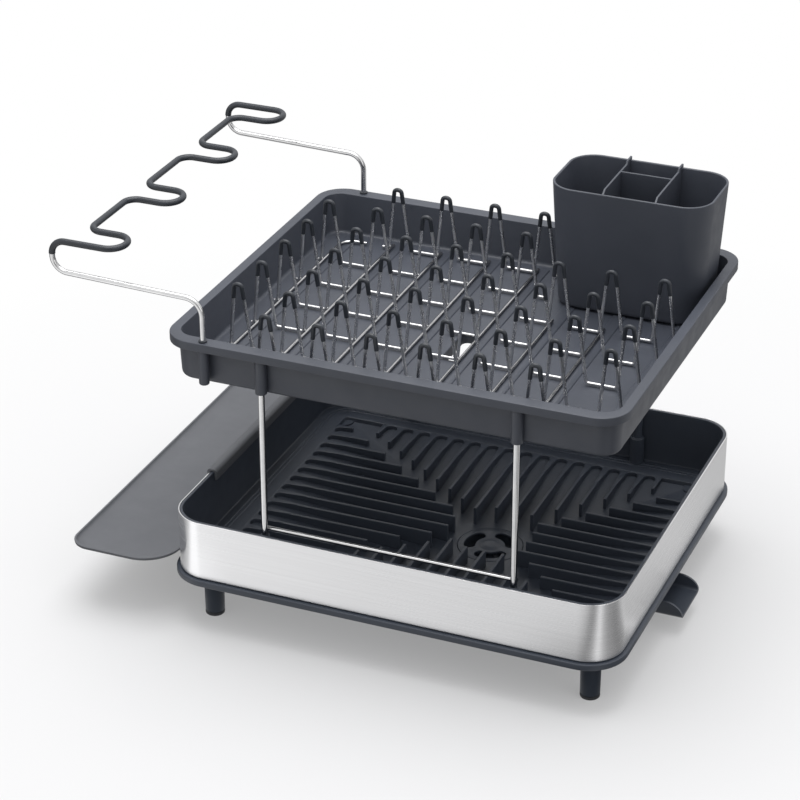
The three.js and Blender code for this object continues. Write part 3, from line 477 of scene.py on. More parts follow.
under = PAN_FLAT + PAN_WALL
basin_rings += [
    ring(PAN_FLAT, PAN_FLAT, 3, PAN_LOW, DRAIN_X),
    round_ring(HOLE_R + HOLE_EDGE, PAN_LOW, DRAIN_X),
    round_ring(HOLE_R, PAN_LOW - HOLE_EDGE, DRAIN_X),
    round_ring(HOLE_R, PAN_LOW - PAN_WALL, DRAIN_X),
    ring(under, under, 5, PAN_LOW - PAN_WALL, DRAIN_X),
]
print("basin has", len(basin_rings), "rings")

# %% [markdown]
# The legs stand in sockets at the foot of the wall: a wide boss with a slimmer sleeve on top. Under
# the flange four short bosses take the feet. They are plain turned shapes sunk into the wall.

# %% Sockets and foot bosses
LEG_X, LEG_Y, LEG_R, CLEAR = 119.1, 176.5, 2.9, 0.3
LEG_HOLE, LEG_LOW, LEG_HIGH = LEG_R + CLEAR, 59.3, 279
SOCKET_TOP, SOCKET_LOW = 111, 55
FOOT_X, FOOT_Y, FOOT_R, FOOT_TOP = 184.5, 152.0, 9.5, 40.7


def corners(x, y):
    return [(sx * x, sy * y) for sy in (-1, 1) for sx in (-1, 1)]


def copies(profile, places):
    return [turned_eased(profile, x, y) for x, y in places]


socket_profile = [
    (0, LEG_LOW - CLEAR, 0), (LEG_HOLE, LEG_LOW - CLEAR, 0), (LEG_HOLE, SOCKET_TOP, 0.2),
    (4.3, SOCKET_TOP, 0.5), (4.4, 84.4, 0.8), (6.7, 84, 0.8), (7.0, SOCKET_LOW, 0),
    (0, SOCKET_LOW, 0),
]
boss_low, boss_high = FOOT_TOP + CLEAR, 53
boss_profile = [
    (0, boss_low, 0), (FOOT_R, boss_low, 0.5), (FOOT_R, boss_high, 0), (0, boss_high, 0),
]
sockets = copies(socket_profile, corners(LEG_X, LEG_Y))
bosses = copies(boss_profile, corners(FOOT_X, FOOT_Y))
basin = piece("basin_moulding", gathered(skinned(basin_rings, loop=True), *sockets, *bosses),
              basin_slate_with_painted_light)
stands_for(basin, "base", "basin")

# %% [markdown]
# ## Ribs by Geometry Nodes
#
# Upright ribs stand in the pan and leave channels that lead the water to the drain. They all share
# one section and one rule: the top is level and the foot follows the sloping floor. That is a job
# for Geometry Nodes. The script only says where each rib starts and ends; the tree sweeps the section
# along and drops the foot on to the slope.

# %% Where the ribs run
RIB_PITCH, RIB_CLEAR, RIB_GAP, RIB_MARGIN, RIB_LEAST, RIB_SINK = 18.2, 40.5, 11.0, 1.5, 8, 0.6
PAN_X, PAN_Y = 184.4, 155.9


def rib_offsets(reach):
    count = math.ceil((reach - RIB_MARGIN) / RIB_PITCH - 0.5)
    return [(k + 0.5) * RIB_PITCH for k in range(count)]


def rib_start(offset, slant):
    """A rib starts a gap beyond the pan's diagonal, and outside the ring round the drain."""
    bow = math.sqrt(max(RIB_CLEAR ** 2 - offset ** 2, 0))
    return max(offset * slant + RIB_GAP, bow)


def rib_lines():
    lines = []
    reach = {-1: PAN_X + DRAIN_X, 1: PAN_X - DRAIN_X}
    for offset in rib_offsets(PAN_Y):
        for side in (-1, 1):
            start = rib_start(offset, reach[side] / PAN_Y)
            if reach[side] - start > RIB_LEAST:
                lines += [((DRAIN_X + side * start, y), (side * (PAN_X + RIB_SINK), y))
                          for y in (-offset, offset)]
    for side in (-1, 1):
        for offset in rib_offsets(reach[side]):
            start = rib_start(offset, PAN_Y / reach[side])
            if PAN_Y - start > RIB_LEAST:
                x = DRAIN_X + side * offset
                lines += [((x, up * start), (x, up * (PAN_Y + RIB_SINK))) for up in (-1, 1)]
    return lines


ribs = rib_lines()
print(len(ribs), "ribs, pitch", RIB_PITCH, "mm")

# %% A class for geometry trees
class Nodes:
    """A geometry node tree with named inputs, built a node at a time."""

    def __init__(self, name, sizes):
        self.tree = bpy.data.node_groups.new(name, "GeometryNodeTree")
        sockets = self.tree.interface
        sockets.new_socket(name="Geometry", in_out="OUTPUT", socket_type="NodeSocketGeometry")
        self.identifiers = {}
        for label, kind in {"Geometry": "Geometry", **sizes, "Material": "Material"}.items():
            socket = sockets.new_socket(name=label, in_out="INPUT", socket_type="NodeSocket" + kind)
            self.identifiers[label] = socket.identifier
        self.input = self.add("NodeGroupInput")

    def add(self, kind, feeds=None, **settings):
        return add_node(self.tree, kind, feeds, **settings)

    def size(self, label):
        return self.input.outputs[label]

    def math(self, operation, a, b=0.0, clamp=False):
        return math_node(self.tree, operation, a, b, clamp)

    def lines(self):
        return self.add("GeometryNodeMeshToCurve", {"Mesh": self.size("Geometry")}).outputs["Curve"]

    def rounded(self, curve, radius, count):
        made = self.add("GeometryNodeFilletCurve", {
            "Curve": curve, "Radius": radius, "Count": count, "Limit Radius": True}, mode="POLY")
        return made.outputs["Curve"]

    def bent_lines(self, count):
        """The guide lines as curves, each corner rounded to the radius stored on its point."""
        bend = self.add("GeometryNodeInputNamedAttribute", {"Name": "bend"}, data_type="FLOAT")
        return self.rounded(self.lines(), bend.outputs["Attribute"], count)

    def resampled(self, curve, length):
        made = self.add("GeometryNodeResampleCurve", {"Curve": curve, "Length": length},
                        mode="LENGTH")
        return made.outputs["Curve"]

    def round_section(self):
        made = self.add("GeometryNodeCurvePrimitiveCircle", {
            "Radius": self.size("Radius"), "Resolution": self.size("Sides")}, mode="RADIUS")
        return made.outputs["Curve"]

    def swept(self, curve, section):
        made = self.add("GeometryNodeCurveToMesh", {
            "Curve": curve, "Profile Curve": section, "Fill Caps": True})
        return made.outputs["Mesh"]

    def end(self, geometry):
        smooth = self.add("GeometryNodeSetShadeSmooth", {"Geometry": geometry})
        real = self.add("GeometryNodeRealizeInstances", {"Geometry": smooth.outputs["Geometry"]})
        dressed = self.add("GeometryNodeSetMaterial", {
            "Geometry": real.outputs["Geometry"], "Material": self.size("Material")})
        self.add("NodeGroupOutput", {"Geometry": dressed.outputs["Geometry"]})


# %% Guide lines, and running a tree over them
def line_mesh(name, lines, bends=None):
    """A mesh of open lines; each point may carry the radius of its bend."""
    points, edges, values = [], [], []
    for n, line in enumerate(lines):
        for k, point in enumerate(line):
            if k:
                edges.append((len(points) - 1, len(points)))
            points.append(place(*point))
            values.append((bends[n][k] if bends else 0) * MM)
    mesh = bpy.data.meshes.new(name)
    mesh.from_pydata(points, edges, [])
    attribute = mesh.attributes.new("bend", "FLOAT", "POINT")
    attribute.data.foreach_set("value", values)
    return mesh


def run_tree(name, nodes, mesh, material, sharp=SHARP, **sizes):
    """Run a tree over a guide mesh and keep the result as a plain mesh."""
    guide = put(name + "_guide", mesh)
    modifier = guide.modifiers.new("nodes", "NODES")
    modifier.node_group = nodes.tree
    modifier[nodes.identifiers["Material"]] = material
    for label, value in sizes.items():
        modifier[nodes.identifiers[label.replace("_", " ")]] = value
    result = plain_mesh(guide)
    guide.modifiers.remove(modifier)
    bpy.data.objects.remove(guide)
    result.name = name
    result.set_sharp_from_angle(angle=math.radians(sharp))
    print(name, "has", len(result.polygons), "faces")
    return put(name, result)


# %% The rib tree
RIB_THICK, RIB_TOP, RIB_EDGE, RIB_STEP, RIB_FOOT = 3, 54.1, 0.7, 6, 0.9
n = rib_nodes = Nodes("basin_rib", {
    "Thickness": "Float", "Top": "Float", "Edge": "Float", "Step": "Float"})
upright = n.add("GeometryNodeSetCurveNormal", {"Curve": n.resampled(n.lines(), n.size("Step"))},
                mode="Z_UP")
section = n.add("GeometryNodeCurvePrimitiveQuadrilateral", {
    "Width": n.size("Thickness"), "Height": n.size("Thickness")})
soft = n.rounded(section.outputs["Curve"], n.size("Edge"), 3)
swept = n.swept(upright.outputs["Curve"], soft)
position = n.add("GeometryNodeInputPosition")
at = n.add("ShaderNodeSeparateXYZ", {"Vector": position.outputs["Position"]}).outputs


def climb(distance, reach):
    """How far up the pan's slope a point lies: 0 where the flat ends, 1 at the pan's edge."""
    past = n.math("SUBTRACT", distance, PAN_FLAT * MM)
    return n.math("DIVIDE", past, (reach - PAN_FLAT) * MM)


away_x = n.math("SUBTRACT", at["X"], place(DRAIN_X, 0, 0)[0])
right = climb(away_x, PAN_X - DRAIN_X)
left = climb(n.math("MULTIPLY", away_x, -1.0), PAN_X + DRAIN_X)
depth = climb(n.math("ABSOLUTE", at["Y"]), PAN_Y)
slope = n.math("MAXIMUM", n.math("MAXIMUM", right, left), n.math("MAXIMUM", depth, 0.0))
rise = n.math("MULTIPLY", n.math("MINIMUM", slope, 1.0), (PAN_EDGE - PAN_LOW) * MM)
floor_z = n.math("ADD", rise, (PAN_LOW - RIB_FOOT) * MM)
top_z = n.math("ADD", at["Z"], n.size("Top"))
is_foot = n.math("LESS_THAN", at["Z"], 0.0)
moved_to = n.add("ShaderNodeCombineXYZ", {
    "X": at["X"], "Y": at["Y"], "Z": mixed(n.tree, is_foot, top_z, floor_z, "FLOAT")})
moved = n.add("GeometryNodeSetPosition", {
    "Geometry": swept, "Position": moved_to.outputs["Vector"]})
n.end(moved.outputs["Geometry"])

rib_guides = line_mesh("rib_guides", [((*near, 0), (*far, 0)) for near, far in ribs])
basin_ribs = run_tree("basin_ribs", rib_nodes, rib_guides, basin_slate_with_painted_light, Thickness=RIB_THICK * MM,
                      Top=RIB_TOP * MM, Edge=RIB_EDGE * MM, Step=RIB_STEP * MM)
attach(basin_ribs, "base")

# %% [markdown]
# ## Wires by Geometry Nodes
#
# Everything bent from wire uses one tree. It turns guide lines into curves, rounds each corner to the
# bend radius stored on that point, and sweeps a round section along. The legs, the bars, the prong
# rack, the ties and the glass holder differ only in their guide lines and their radius.

# %% The wire tree
WIRE_SHARP = 50
wire_nodes = Nodes("bent_wire", {"Radius": "Float", "Sides": "Int", "Bend steps": "Int"})
wire_nodes.end(wire_nodes.swept(wire_nodes.bent_lines(wire_nodes.size("Bend steps")),
                                wire_nodes.round_section()))


def wires(name, lines, bends, radius, material, sides, steps=8):
    return run_tree(name, wire_nodes, line_mesh(name, lines, bends), material, WIRE_SHARP,
                    Radius=radius * MM, Sides=sides, Bend_steps=steps)


# %% Legs and cross bars
BAR_R, BAR_X, BAR_RISE = 2.0, 120.6, 1.8
leg_lines = [((x, y, LEG_LOW), (x, y, LEG_HIGH)) for x, y in corners(LEG_X, LEG_Y)]
legs = wires("legs", leg_lines, [(0, 0)] * 4, LEG_R, chrome, sides=32)
stands_for(legs, "base", "leg_front_left", "leg_front_right", "leg_back_left", "leg_back_right")
bar_y, bar_z = LEG_Y - LEG_R - BAR_R - CLEAR, BAND_HIGH + BAR_RISE
bar_lines = [((-BAR_X, y, bar_z), (BAR_X, y, bar_z)) for y in (-bar_y, bar_y)]
bars = wires("leg_bars", bar_lines, [(0, 0)] * 2, BAR_R, chrome, sides=24)
stands_for(bars, "base", "leg_bar_front", "leg_bar_back")

# %% [markdown]
# ## The prong rack
#
# Seven wires run across the rack, each bent into a row of upright prongs, and eight ties under the
# prongs hold the rows together. The tips of the prongs are dipped in the dark coat. The guide lines
# follow the wire: along the floor, up a leg of the prong, over its tip and down again.

# %% Rows of prongs
COLUMNS, PITCH_X, PITCH_Y, RACK_X, RACK_Y = 8, 50.0, 50.5, 3.4, -4.3
PRONG_COLUMNS = [(1, 6), (0, 7), (0, 7), (0, 7), (0, 7), (0, 4), (1, 4)]
WIRE_R, TIE_R, COAT_R, COAT_LONG = 1.5, 1.5, 2.05, 14
FOOT_Z, TIP_Z, FOOT_BEND, TIP_BEND = 257.1, 320.9, 3, 3.45
SPREAD, TIP_SPREAD, LEAN = 21.3, 7.0, 4.1
END_AT_EDGE, END_INSIDE = 3.4, 7


def column_x(column):
    return RACK_X + (column - (COLUMNS - 1) / 2) * PITCH_X


def row_y(row):
    return RACK_Y + (row - 3) * PITCH_Y


def toward(start, end, run):
    """The point that lies a given run from the start on the way to the end."""
    start, end = Vector(start), Vector(end)
    return tuple(start + (end - start).normalized() * run)


row_lines, row_bends, coat_lines = [], [], []
for row, (first, last) in enumerate(PRONG_COLUMNS):
    y = row_y(row)
    line, bends = [], []
    for column in range(first, last + 1):
        x = column_x(column)
        foot_l, foot_r = [(x + side * SPREAD / 2, y, FOOT_Z) for side in (-1, 1)]
        tip_l, tip_r = [(x + side * TIP_SPREAD / 2, y - LEAN, TIP_Z) for side in (-1, 1)]
        line += [foot_l, tip_l, tip_r, foot_r]
        bends += [FOOT_BEND, TIP_BEND, TIP_BEND, FOOT_BEND]
        coat_lines.append((toward(tip_l, foot_l, COAT_LONG), tip_l, tip_r,
                           toward(tip_r, foot_r, COAT_LONG)))
    ends = [END_AT_EDGE if column in (0, COLUMNS - 1) else END_INSIDE for column in (first, last)]
    row_lines.append([(line[0][0] - ends[0], y, FOOT_Z), *line, (line[-1][0] + ends[1], y, FOOT_Z)])
    row_bends.append([0, *bends, 0])
rows = wires("prong_rows", row_lines, row_bends, WIRE_R, satin, sides=16, steps=7)
stands_for(rows, "prong_rack", *[f"prong_row_{k}" for k in range(1, 8)])
print(len(coat_lines), "prongs")

# %% [markdown]
# The dip coat is thicker than the wire and ends in a rounded bead. The same idea as the wire tree
# does it, with one step more: the radius of the curve swells from a narrow start over the first
# millimetre and a half, and shrinks again at the far end.

# %% The coat tree
TIP_STEPS, COAT_STEP, BEAD, BEAD_SHRINK, COAT_SIDES, COAT_SHARP = 7, 0.8, 1.6, 0.55, 12, 60
n = coat_nodes = Nodes("dipped_tip", {"Radius": "Float", "Sides": "Int", "Bead": "Float"})
along = n.add("GeometryNodeSplineParameter").outputs["Length"]
length = n.add("GeometryNodeSplineLength").outputs["Length"]
nearest = n.math("MINIMUM", n.math("SUBTRACT", length, along), along)
turn = n.math("SUBTRACT", 1.0, n.math("DIVIDE", nearest, n.size("Bead"), clamp=True))
shrink = n.math("MULTIPLY", n.math("MULTIPLY", turn, turn), BEAD_SHRINK)
sized = n.add("GeometryNodeSetCurveRadius", {
    "Curve": n.resampled(n.bent_lines(TIP_STEPS), COAT_STEP * MM),
    "Radius": n.math("SQRT", n.math("SUBTRACT", 1.0, shrink))})
n.end(n.swept(sized.outputs["Curve"], n.round_section()))
coat_bends = [(0, TIP_BEND, TIP_BEND, 0)] * len(coat_lines)
tips = run_tree("prong_tips", coat_nodes, line_mesh("tips", coat_lines, coat_bends), coat,
                COAT_SHARP, Radius=COAT_R * MM, Sides=COAT_SIDES, Bead=BEAD * MM)
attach(tips, "prong_rack")

# %% Ties under the rows
TIE_Z, TIE_IN, TIE_PAST, TIE_CORNER, TIE_BEND = 257.3, SPREAD / 2 - 2.17, 6, 24.0, 14


def tie_x(column):
    return column_x(column) + (TIE_IN if column == COLUMNS - 1 else -TIE_IN)


tie_lines, tie_bends = [], []
for column in range(COLUMNS):
    x, front, rear = tie_x(column), row_y(0), row_y(6 if column <= 4 else 4)
    if column == 0:
        line = [(x + TIE_CORNER, front), (x, front), (x, rear), (x + TIE_CORNER, rear)]
    elif column == COLUMNS - 1:
        line = [(x - TIE_CORNER, front), (x, front), (x, rear + TIE_PAST)]
    else:
        line = [(x, front - TIE_PAST), (x, rear + TIE_PAST)]
    tie_lines.append([(*point, TIE_Z) for point in line])
    tie_bends.append([0] + [TIE_BEND] * (len(line) - 2) + [0])
ties = wires("rack_ties", tie_lines, tie_bends, TIE_R, chrome, sides=12)
stands_for(ties, "prong_rack", *[f"rack_tie_{k}" for k in range(1, 9)])

# %% [markdown]
# ## The upper tray
#
# The tray is one moulding as well: a broad rim that turns down into a short skirt, a wall that leans
# in a little, and a floor with a drain slot and a collar under it. The rings run from the drain slot
# out underneath, up the outside, over the rim and down the inside back to the slot.

# %% Tray skin
TRAY_X, TRAY_Y, TRAY_R, TRAY_TOP = 213.5, 185.0, 28.0, 295.3
TRAY_LOW, TRAY_FLOOR, SKIRT_LOW, RIM_UNDER = 252.0, 254.4, 287.1, 292.5
SKIRT_WALL, WALL_TOP, WALL_FOOT, RIM_WIDER = 2.5, 10.9, 12.9, 4.2
SLOT_X, SLOT_Y, SLOT_HALF_X, SLOT_HALF_Y, SLOT_R = 10.5, -24.5, 9.5, 29.5, 6.0
SLOT_LOW, SLOT_WALL, SLOT_EDGE = 243.5, 2.4, 0.6


def tray_ring(inset, z):
    """The rim is wider at the sides of the rack than at its front and back."""
    wider = RIM_WIDER * min(max(inset - SKIRT_WALL, 0) / (WALL_TOP - SKIRT_WALL), 1)
    return ring(TRAY_X - inset + wider, TRAY_Y - inset, TRAY_R - inset + wider / 2, z,
                steps=FINE_STEPS)


tray_profile = eased([
    (30, TRAY_LOW, 0), (WALL_FOOT, TRAY_LOW, 5), (WALL_TOP, RIM_UNDER, 0.4),
    (SKIRT_WALL, RIM_UNDER, 0.5), (SKIRT_WALL, SKIRT_LOW, 0.5), (0, SKIRT_LOW, 0.8),
    (0, TRAY_TOP, 1.0), (13.5, TRAY_TOP, 1.0), (15.5, TRAY_FLOOR, 4), (30, TRAY_FLOOR, 0),
], loop=False, steps=6)
slot_profile = [(SLOT_EDGE, TRAY_FLOOR), (0, TRAY_FLOOR - SLOT_EDGE), (0, SLOT_LOW),
                (SLOT_WALL, SLOT_LOW), (SLOT_WALL, TRAY_LOW)]
tray_rings = [ring(SLOT_HALF_X + g, SLOT_HALF_Y + g, SLOT_R + g, z, SLOT_X, SLOT_Y, FINE_STEPS)
              for g, z in slot_profile]
tray_rings += [tray_ring(a, z) for a, z in tray_profile]
print("tray has", len(tray_rings), "rings")

# %% Tray sockets
POST_X, POST_Y, POST_LOW = -173.0, 179.2, 254
LEG_BOSS_R, POST_BOSS_R, LEG_BOSS_LOW, BOSS_TOP = 5.3, 4.7, 253.7, 293.5
POSTS = [(POST_X, -POST_Y), (POST_X, POST_Y)]
leg_boss = [
    (0, LEG_HIGH + CLEAR, 0), (LEG_HOLE, LEG_HIGH + CLEAR, 0), (LEG_HOLE, LEG_BOSS_LOW, 0),
    (LEG_BOSS_R, LEG_BOSS_LOW, 0.8), (LEG_BOSS_R, BOSS_TOP, 0), (0, BOSS_TOP, 0),
]
post_boss = [(0, POST_LOW, 0), (POST_BOSS_R, POST_LOW, 1.6), (POST_BOSS_R, BOSS_TOP, 0),
             (0, BOSS_TOP, 0)]
tray_bosses = copies(leg_boss, corners(LEG_X, LEG_Y)) + copies(post_boss, POSTS)
tray = piece("tray_moulding", gathered(skinned(tray_rings, loop=True), *tray_bosses), slate)
stands_for(tray, "upper_tray", "upper_tray")

# %% [markdown]
# Low ridges run front to back on the tray's floor and keep the rack off the wet plastic. They are
# long strips with sloping sides, one beside each tie. Four rings make each of them: two for its foot
# and two for its softened top.

# %% Floor ridges
RIDGE_LONG, RIDGE_NEAR, RIDGE_FAR = 160.5, 2.5, 8.5
RIDGE_RINGS = [(0.9, 1.8, -0.4), (0.9, 1.8, 0), (0.2, 1.2, 0.9), (-0.2, 0.9, 1.1)]
ridge_parts = []
ridge_half, ridge_aside = (RIDGE_FAR + RIDGE_NEAR) / 2, (RIDGE_FAR - RIDGE_NEAR) / 2
for column in range(COLUMNS):
    centre = tie_x(column) + (-ridge_aside if column == COLUMNS - 1 else ridge_aside)
    ridge_parts.append(skinned([
        ring(ridge_half + grow, RIDGE_LONG + grow, radius, TRAY_FLOOR + rise, centre, steps=4)
        for grow, radius, rise in RIDGE_RINGS]))
ridges = piece("tray_ridges", gathered(*ridge_parts), slate)
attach(ridges, "upper_tray")

# %% [markdown]
# ## Cutlery pot and divider
#
# The pot is a tall cup with strongly rounded corners that narrows towards its foot, so it can leave
# the mould. The divider is a loose H-shaped insert: two plates across the pot, hooked over its back
# edge, and a short plate between them.

# %% Cutlery pot
POT_X, POT_Y, POT_LOW, POT_TOP = 126.3, 126.0, 255.8, 377.1
POT_HALF_X, POT_HALF_Y, POT_R, POT_LEAN, POT_WALL, POT_EDGE = 76.8, 46, 26, 7.0, 2.4, 1.1


def pot_lean(z):
    return POT_LEAN * (POT_TOP - z) / (POT_TOP - POT_LOW)


def pot_ring(inset, z):
    lean = pot_lean(z)
    return ring(POT_HALF_X - lean - inset, POT_HALF_Y - lean - inset, POT_R - lean / 2 - inset, z,
                POT_X, POT_Y, FINE_STEPS)


pot_profile = eased([
    (12, POT_LOW, 0), (0, POT_LOW, 5), (0, POT_TOP, POT_EDGE), (POT_WALL, POT_TOP, POT_EDGE),
    (POT_WALL, POT_LOW + POT_WALL, 5), (12, POT_LOW + POT_WALL, 0),
], loop=False, steps=6)
pot = piece("pot_moulding", skinned([pot_ring(a, z) for a, z in pot_profile]), slate)
stands_for(pot, "cutlery_pot", "cutlery_pot")

# %% Plates with soft edges
def prism(outline, low, high, axis):
    """A flat plate with its outline in the plane across the axis."""
    count = len(outline)
    if axis == "x":
        points = [(x, y, z) for x in (low, high) for y, z in outline]
    else:
        points = [(x, y, z) for y in (low, high) for x, z in outline]
    faces = [tuple(range(count)), tuple(reversed(range(count, 2 * count)))]
    faces += [(k, (k + 1) % count, count + (k + 1) % count, count + k) for k in range(count)]
    return points, faces


def soften(made, width, segments=2, angle=30):
    modifier = made.modifiers.new("soft_edges", "BEVEL")
    modifier.width = width * MM
    modifier.segments = segments
    modifier.limit_method = "ANGLE"
    modifier.angle_limit = math.radians(angle)
    modifier.harden_normals = True


print("plates are prisms with bevelled edges")

# %% Pot divider
PLATE_X, PLATE_HALF, PLATE_FOOT, PLATE_CLEAR, PLATE_CUT = 25, 1, 12.4, 0.6, 8
HOOK_IN, HOOK_OUT, HOOK_UP, HOOK_DOWN, HOOK_LONG = 46.3, 48.6, 2.2, 5, 6
CROSS_X, CROSS_Y, CROSS_THICK = 24.5, 15.5, 2


def pot_reach(z):
    return POT_HALF_Y - pot_lean(z) - POT_WALL - PLATE_CLEAR


low, top, hook_top = POT_LOW + PLATE_FOOT, POT_TOP - 1, POT_TOP + HOOK_UP
hook_from, over = pot_reach(POT_TOP), POT_TOP + CLEAR
plate_outline = [(y + POT_Y, z) for y, z in [
    (-pot_reach(low), low), (pot_reach(low), low), (hook_from, over), (HOOK_IN, over),
    (HOOK_IN, POT_TOP - HOOK_DOWN), (HOOK_OUT, POT_TOP - HOOK_DOWN), (HOOK_OUT, hook_top),
    (hook_from - HOOK_LONG, hook_top), (hook_from - HOOK_LONG - HOOK_UP, top),
    (14 - pot_reach(top), top), (-pot_reach(top - PLATE_CUT), top - PLATE_CUT),
]]
plates = [prism(plate_outline, POT_X + x - PLATE_HALF, POT_X + x + PLATE_HALF, "x")
          for x in (-PLATE_X, PLATE_X)]
left, right, cross_y = POT_X - CROSS_X, POT_X + CROSS_X, POT_Y + CROSS_Y
cross = prism([(left, low), (right, low), (right, top), (left, top)],
              cross_y, cross_y + CROSS_THICK, "y")
divider = piece("divider_plates", gathered(*plates, cross), slate)
soften(divider, 0.5)
stands_for(divider, "pot_divider", "pot_divider")

# %% [markdown]
# ## Glass holder
#
# Two chromed posts stand in the tray's rim and reach out to the left. A thin dark collar closes the
# hole round each. From their ends one coated wire rises and snakes along the side in four open
# slots, which take the stems of hanging glasses.

# %% Holder arms
ARM_R, ARM_LOW, ARM_Z, ARM_FALL, ARM_BEND, ARM_STUB = 2.55, 257.3, 339.3, 4.4, 16, 15.9
END_X, LOOP_R = -304.0, 14.6
end_x = END_X - LOOP_R
arm_lines = [
    ((x, y, ARM_LOW), (x, y, ARM_Z - ARM_FALL), (end_x, y, ARM_Z), (end_x, y, ARM_Z + ARM_STUB))
    for x, y in POSTS]
arms = wires("holder_arms", arm_lines, [(0, ARM_BEND, LOOP_R, 0)] * 2, ARM_R, chrome, 32, 14)
stands_for(arms, "glass_holder", "holder_arm_front", "holder_arm_back")

COLLAR_IN, COLLAR_OUT, COLLAR_LOW, COLLAR_TOP = 2.5, 3.9, TRAY_TOP + CLEAR, 297
collar_profile = eased([
    (COLLAR_IN, COLLAR_LOW, 0), (COLLAR_OUT, COLLAR_LOW, 0.4), (COLLAR_OUT, COLLAR_TOP, 0.5),
    (COLLAR_IN, COLLAR_TOP, 0)])
collar_rings = [[round_ring(r, z, x, y) for r, z in collar_profile] for x, y in POSTS]
collars = piece("post_collars", gathered(*[skinned(one, loop=True) for one in collar_rings]), coat)
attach(collars, "glass_holder")

# %% Holder loop
SLOTS, HALF_SLOT, SLOT_END, RUN_X, LOOP_Z = 4, 15.5, -253.0, -298.2, 368.4
HOLDER_R, SLOT_BEND, RUN_BEND, LOOP_LOW = 3, 15.2, 12, ARM_Z + ARM_STUB + CLEAR
far_slot = POST_Y - HALF_SLOT
slot_ys = [far_slot * (2 * k / (SLOTS - 1) - 1) for k in range(SLOTS)]
loop_line, loop_bends = [(end_x, -POST_Y, LOOP_LOW), (end_x, -POST_Y, LOOP_Z)], [0, LOOP_R]
for k, y in enumerate(slot_ys):
    loop_line += [(SLOT_END, y - HALF_SLOT, LOOP_Z), (SLOT_END, y + HALF_SLOT, LOOP_Z)]
    loop_bends += [SLOT_BEND] * 2
    for onward in slot_ys[k + 1:k + 2]:
        loop_line += [(RUN_X, y + HALF_SLOT, LOOP_Z), (RUN_X, onward - HALF_SLOT, LOOP_Z)]
        loop_bends += [RUN_BEND] * 2
loop_line += [(end_x, POST_Y, LOOP_Z), (end_x, POST_Y, LOOP_LOW)]
loop = wires("holder_wire", [loop_line], [[*loop_bends, LOOP_R, 0]], HOLDER_R, coat, 24, 10)
stands_for(loop, "glass_holder", "holder_loop")

# %% [markdown]
# ## Side tray
#
# A shallow grey tray hangs on the basin's left edge. Its rim is a thin lip, its floor is nearly flat,
# and the corners beside the basin are rounder than the two outer ones. An upright strip ends in a
# hook that goes over the basin's wall.

# %% Side tray
SIDE_X, SIDE_HALF_X, SIDE_HALF_Y, SIDE_R_IN, SIDE_R_OUT = -265.75, 50.75, 191.5, 36, 20
SIDE_LOW, SIDE_FLOOR, SIDE_LIP, LIP_WALL = 60, 61.3, 66, 2.2
DISH_DEEP, DISH_WIDE, DISH_STEPS, SIDE_MIDDLE = 4.4, 15, 12, 19


def side_ring(inset, z):
    return ring(SIDE_HALF_X - inset, SIDE_HALF_Y - inset, (SIDE_R_IN - inset, SIDE_R_OUT - inset),
                z, SIDE_X, 0, FINE_STEPS)


shares = [k / DISH_STEPS for k in range(1, DISH_STEPS + 1)]
dish = [(LIP_WALL + DISH_WIDE * u, SIDE_FLOOR + DISH_DEEP * (1 - math.sqrt(1 - (1 - u) ** 2)))
        for u in shares]
side_profile = eased([
    (SIDE_MIDDLE, SIDE_LOW, 0), (9, SIDE_LOW, 2), (0.6, 63.2, 0.5), (0, SIDE_LIP, 0.7),
    (2.1, SIDE_LIP, 0.6), (LIP_WALL, 65.6, 0),
], loop=False) + dish + [(SIDE_MIDDLE, SIDE_FLOOR)]


def arc(x, y, radius, start, end, steps=8):
    turns = [math.radians(start + (end - start) * k / steps) for k in range(steps + 1)]
    return [(x + radius * math.cos(t), y + radius * math.sin(t)) for t in turns]


HOOK_HALF = 94
hook_outline = [(-217.6, 61.2), (-215.0, 61.2)]
hook_outline += arc(-213.8, 112.6, 1.2, 180, 90) + arc(-211.2, 112.6, 1.2, 90, 0)
hook_outline += arc(-208.7, 106.3, 1.3, 180, 360)
hook_outline += arc(-211.0, 112.8, 3.6, 0, 90) + arc(-214.0, 112.8, 3.6, 90, 180)
side_tray = piece("side_tray", gathered(
    skinned([side_ring(a, z) for a, z in side_profile]),
    prism(hook_outline, -HOOK_HALF, HOOK_HALF, "y")), tray_grey)
soften(side_tray, 0.7, 3, 40)
stands_for(side_tray, "drip_tray", "drip_tray")

# %% [markdown]
# ## Feet
#
# Four round legs with a rubber pad. They taper by less than a millimetre, as moulded pins do.

# %% Feet and pads
FOOT_LOW, FOOT_LOW_R, PIN_R, PIN_TOP, PAD_TOP = 3.9, 9.1, 4.6, 47, 3.6
foot_profile = [
    (0, FOOT_LOW, 0), (FOOT_LOW_R, FOOT_LOW, 0.4), (FOOT_R, FOOT_TOP, 0.4), (PIN_R, FOOT_TOP, 0),
    (PIN_R, PIN_TOP, 0), (0, PIN_TOP, 0),
]
pad_profile = [(0, 0, 0), (FOOT_LOW_R, 0, 1.4), (FOOT_LOW_R, PAD_TOP, 0.3), (0, PAD_TOP, 0)]
feet = piece("feet", gathered(*copies(foot_profile, corners(FOOT_X, FOOT_Y))), foot_slate_painted_shade)
pads = piece("foot_pads", gathered(*copies(pad_profile, corners(FOOT_X, FOOT_Y))), rubber)
where = ("front_left", "front_right", "back_left", "back_right")
stands_for(feet, "base", *[f"foot_{w}" for w in where])
stands_for(pads, "base", *[f"foot_pad_{w}" for w in where])

# %% [markdown]
# ## Drain plate
#
# A round plate with three kidney-shaped holes sits in the drain. A filled flat curve cuts the holes
# cleanly and bevels their edges at once. A turned dome and pin go in the middle.

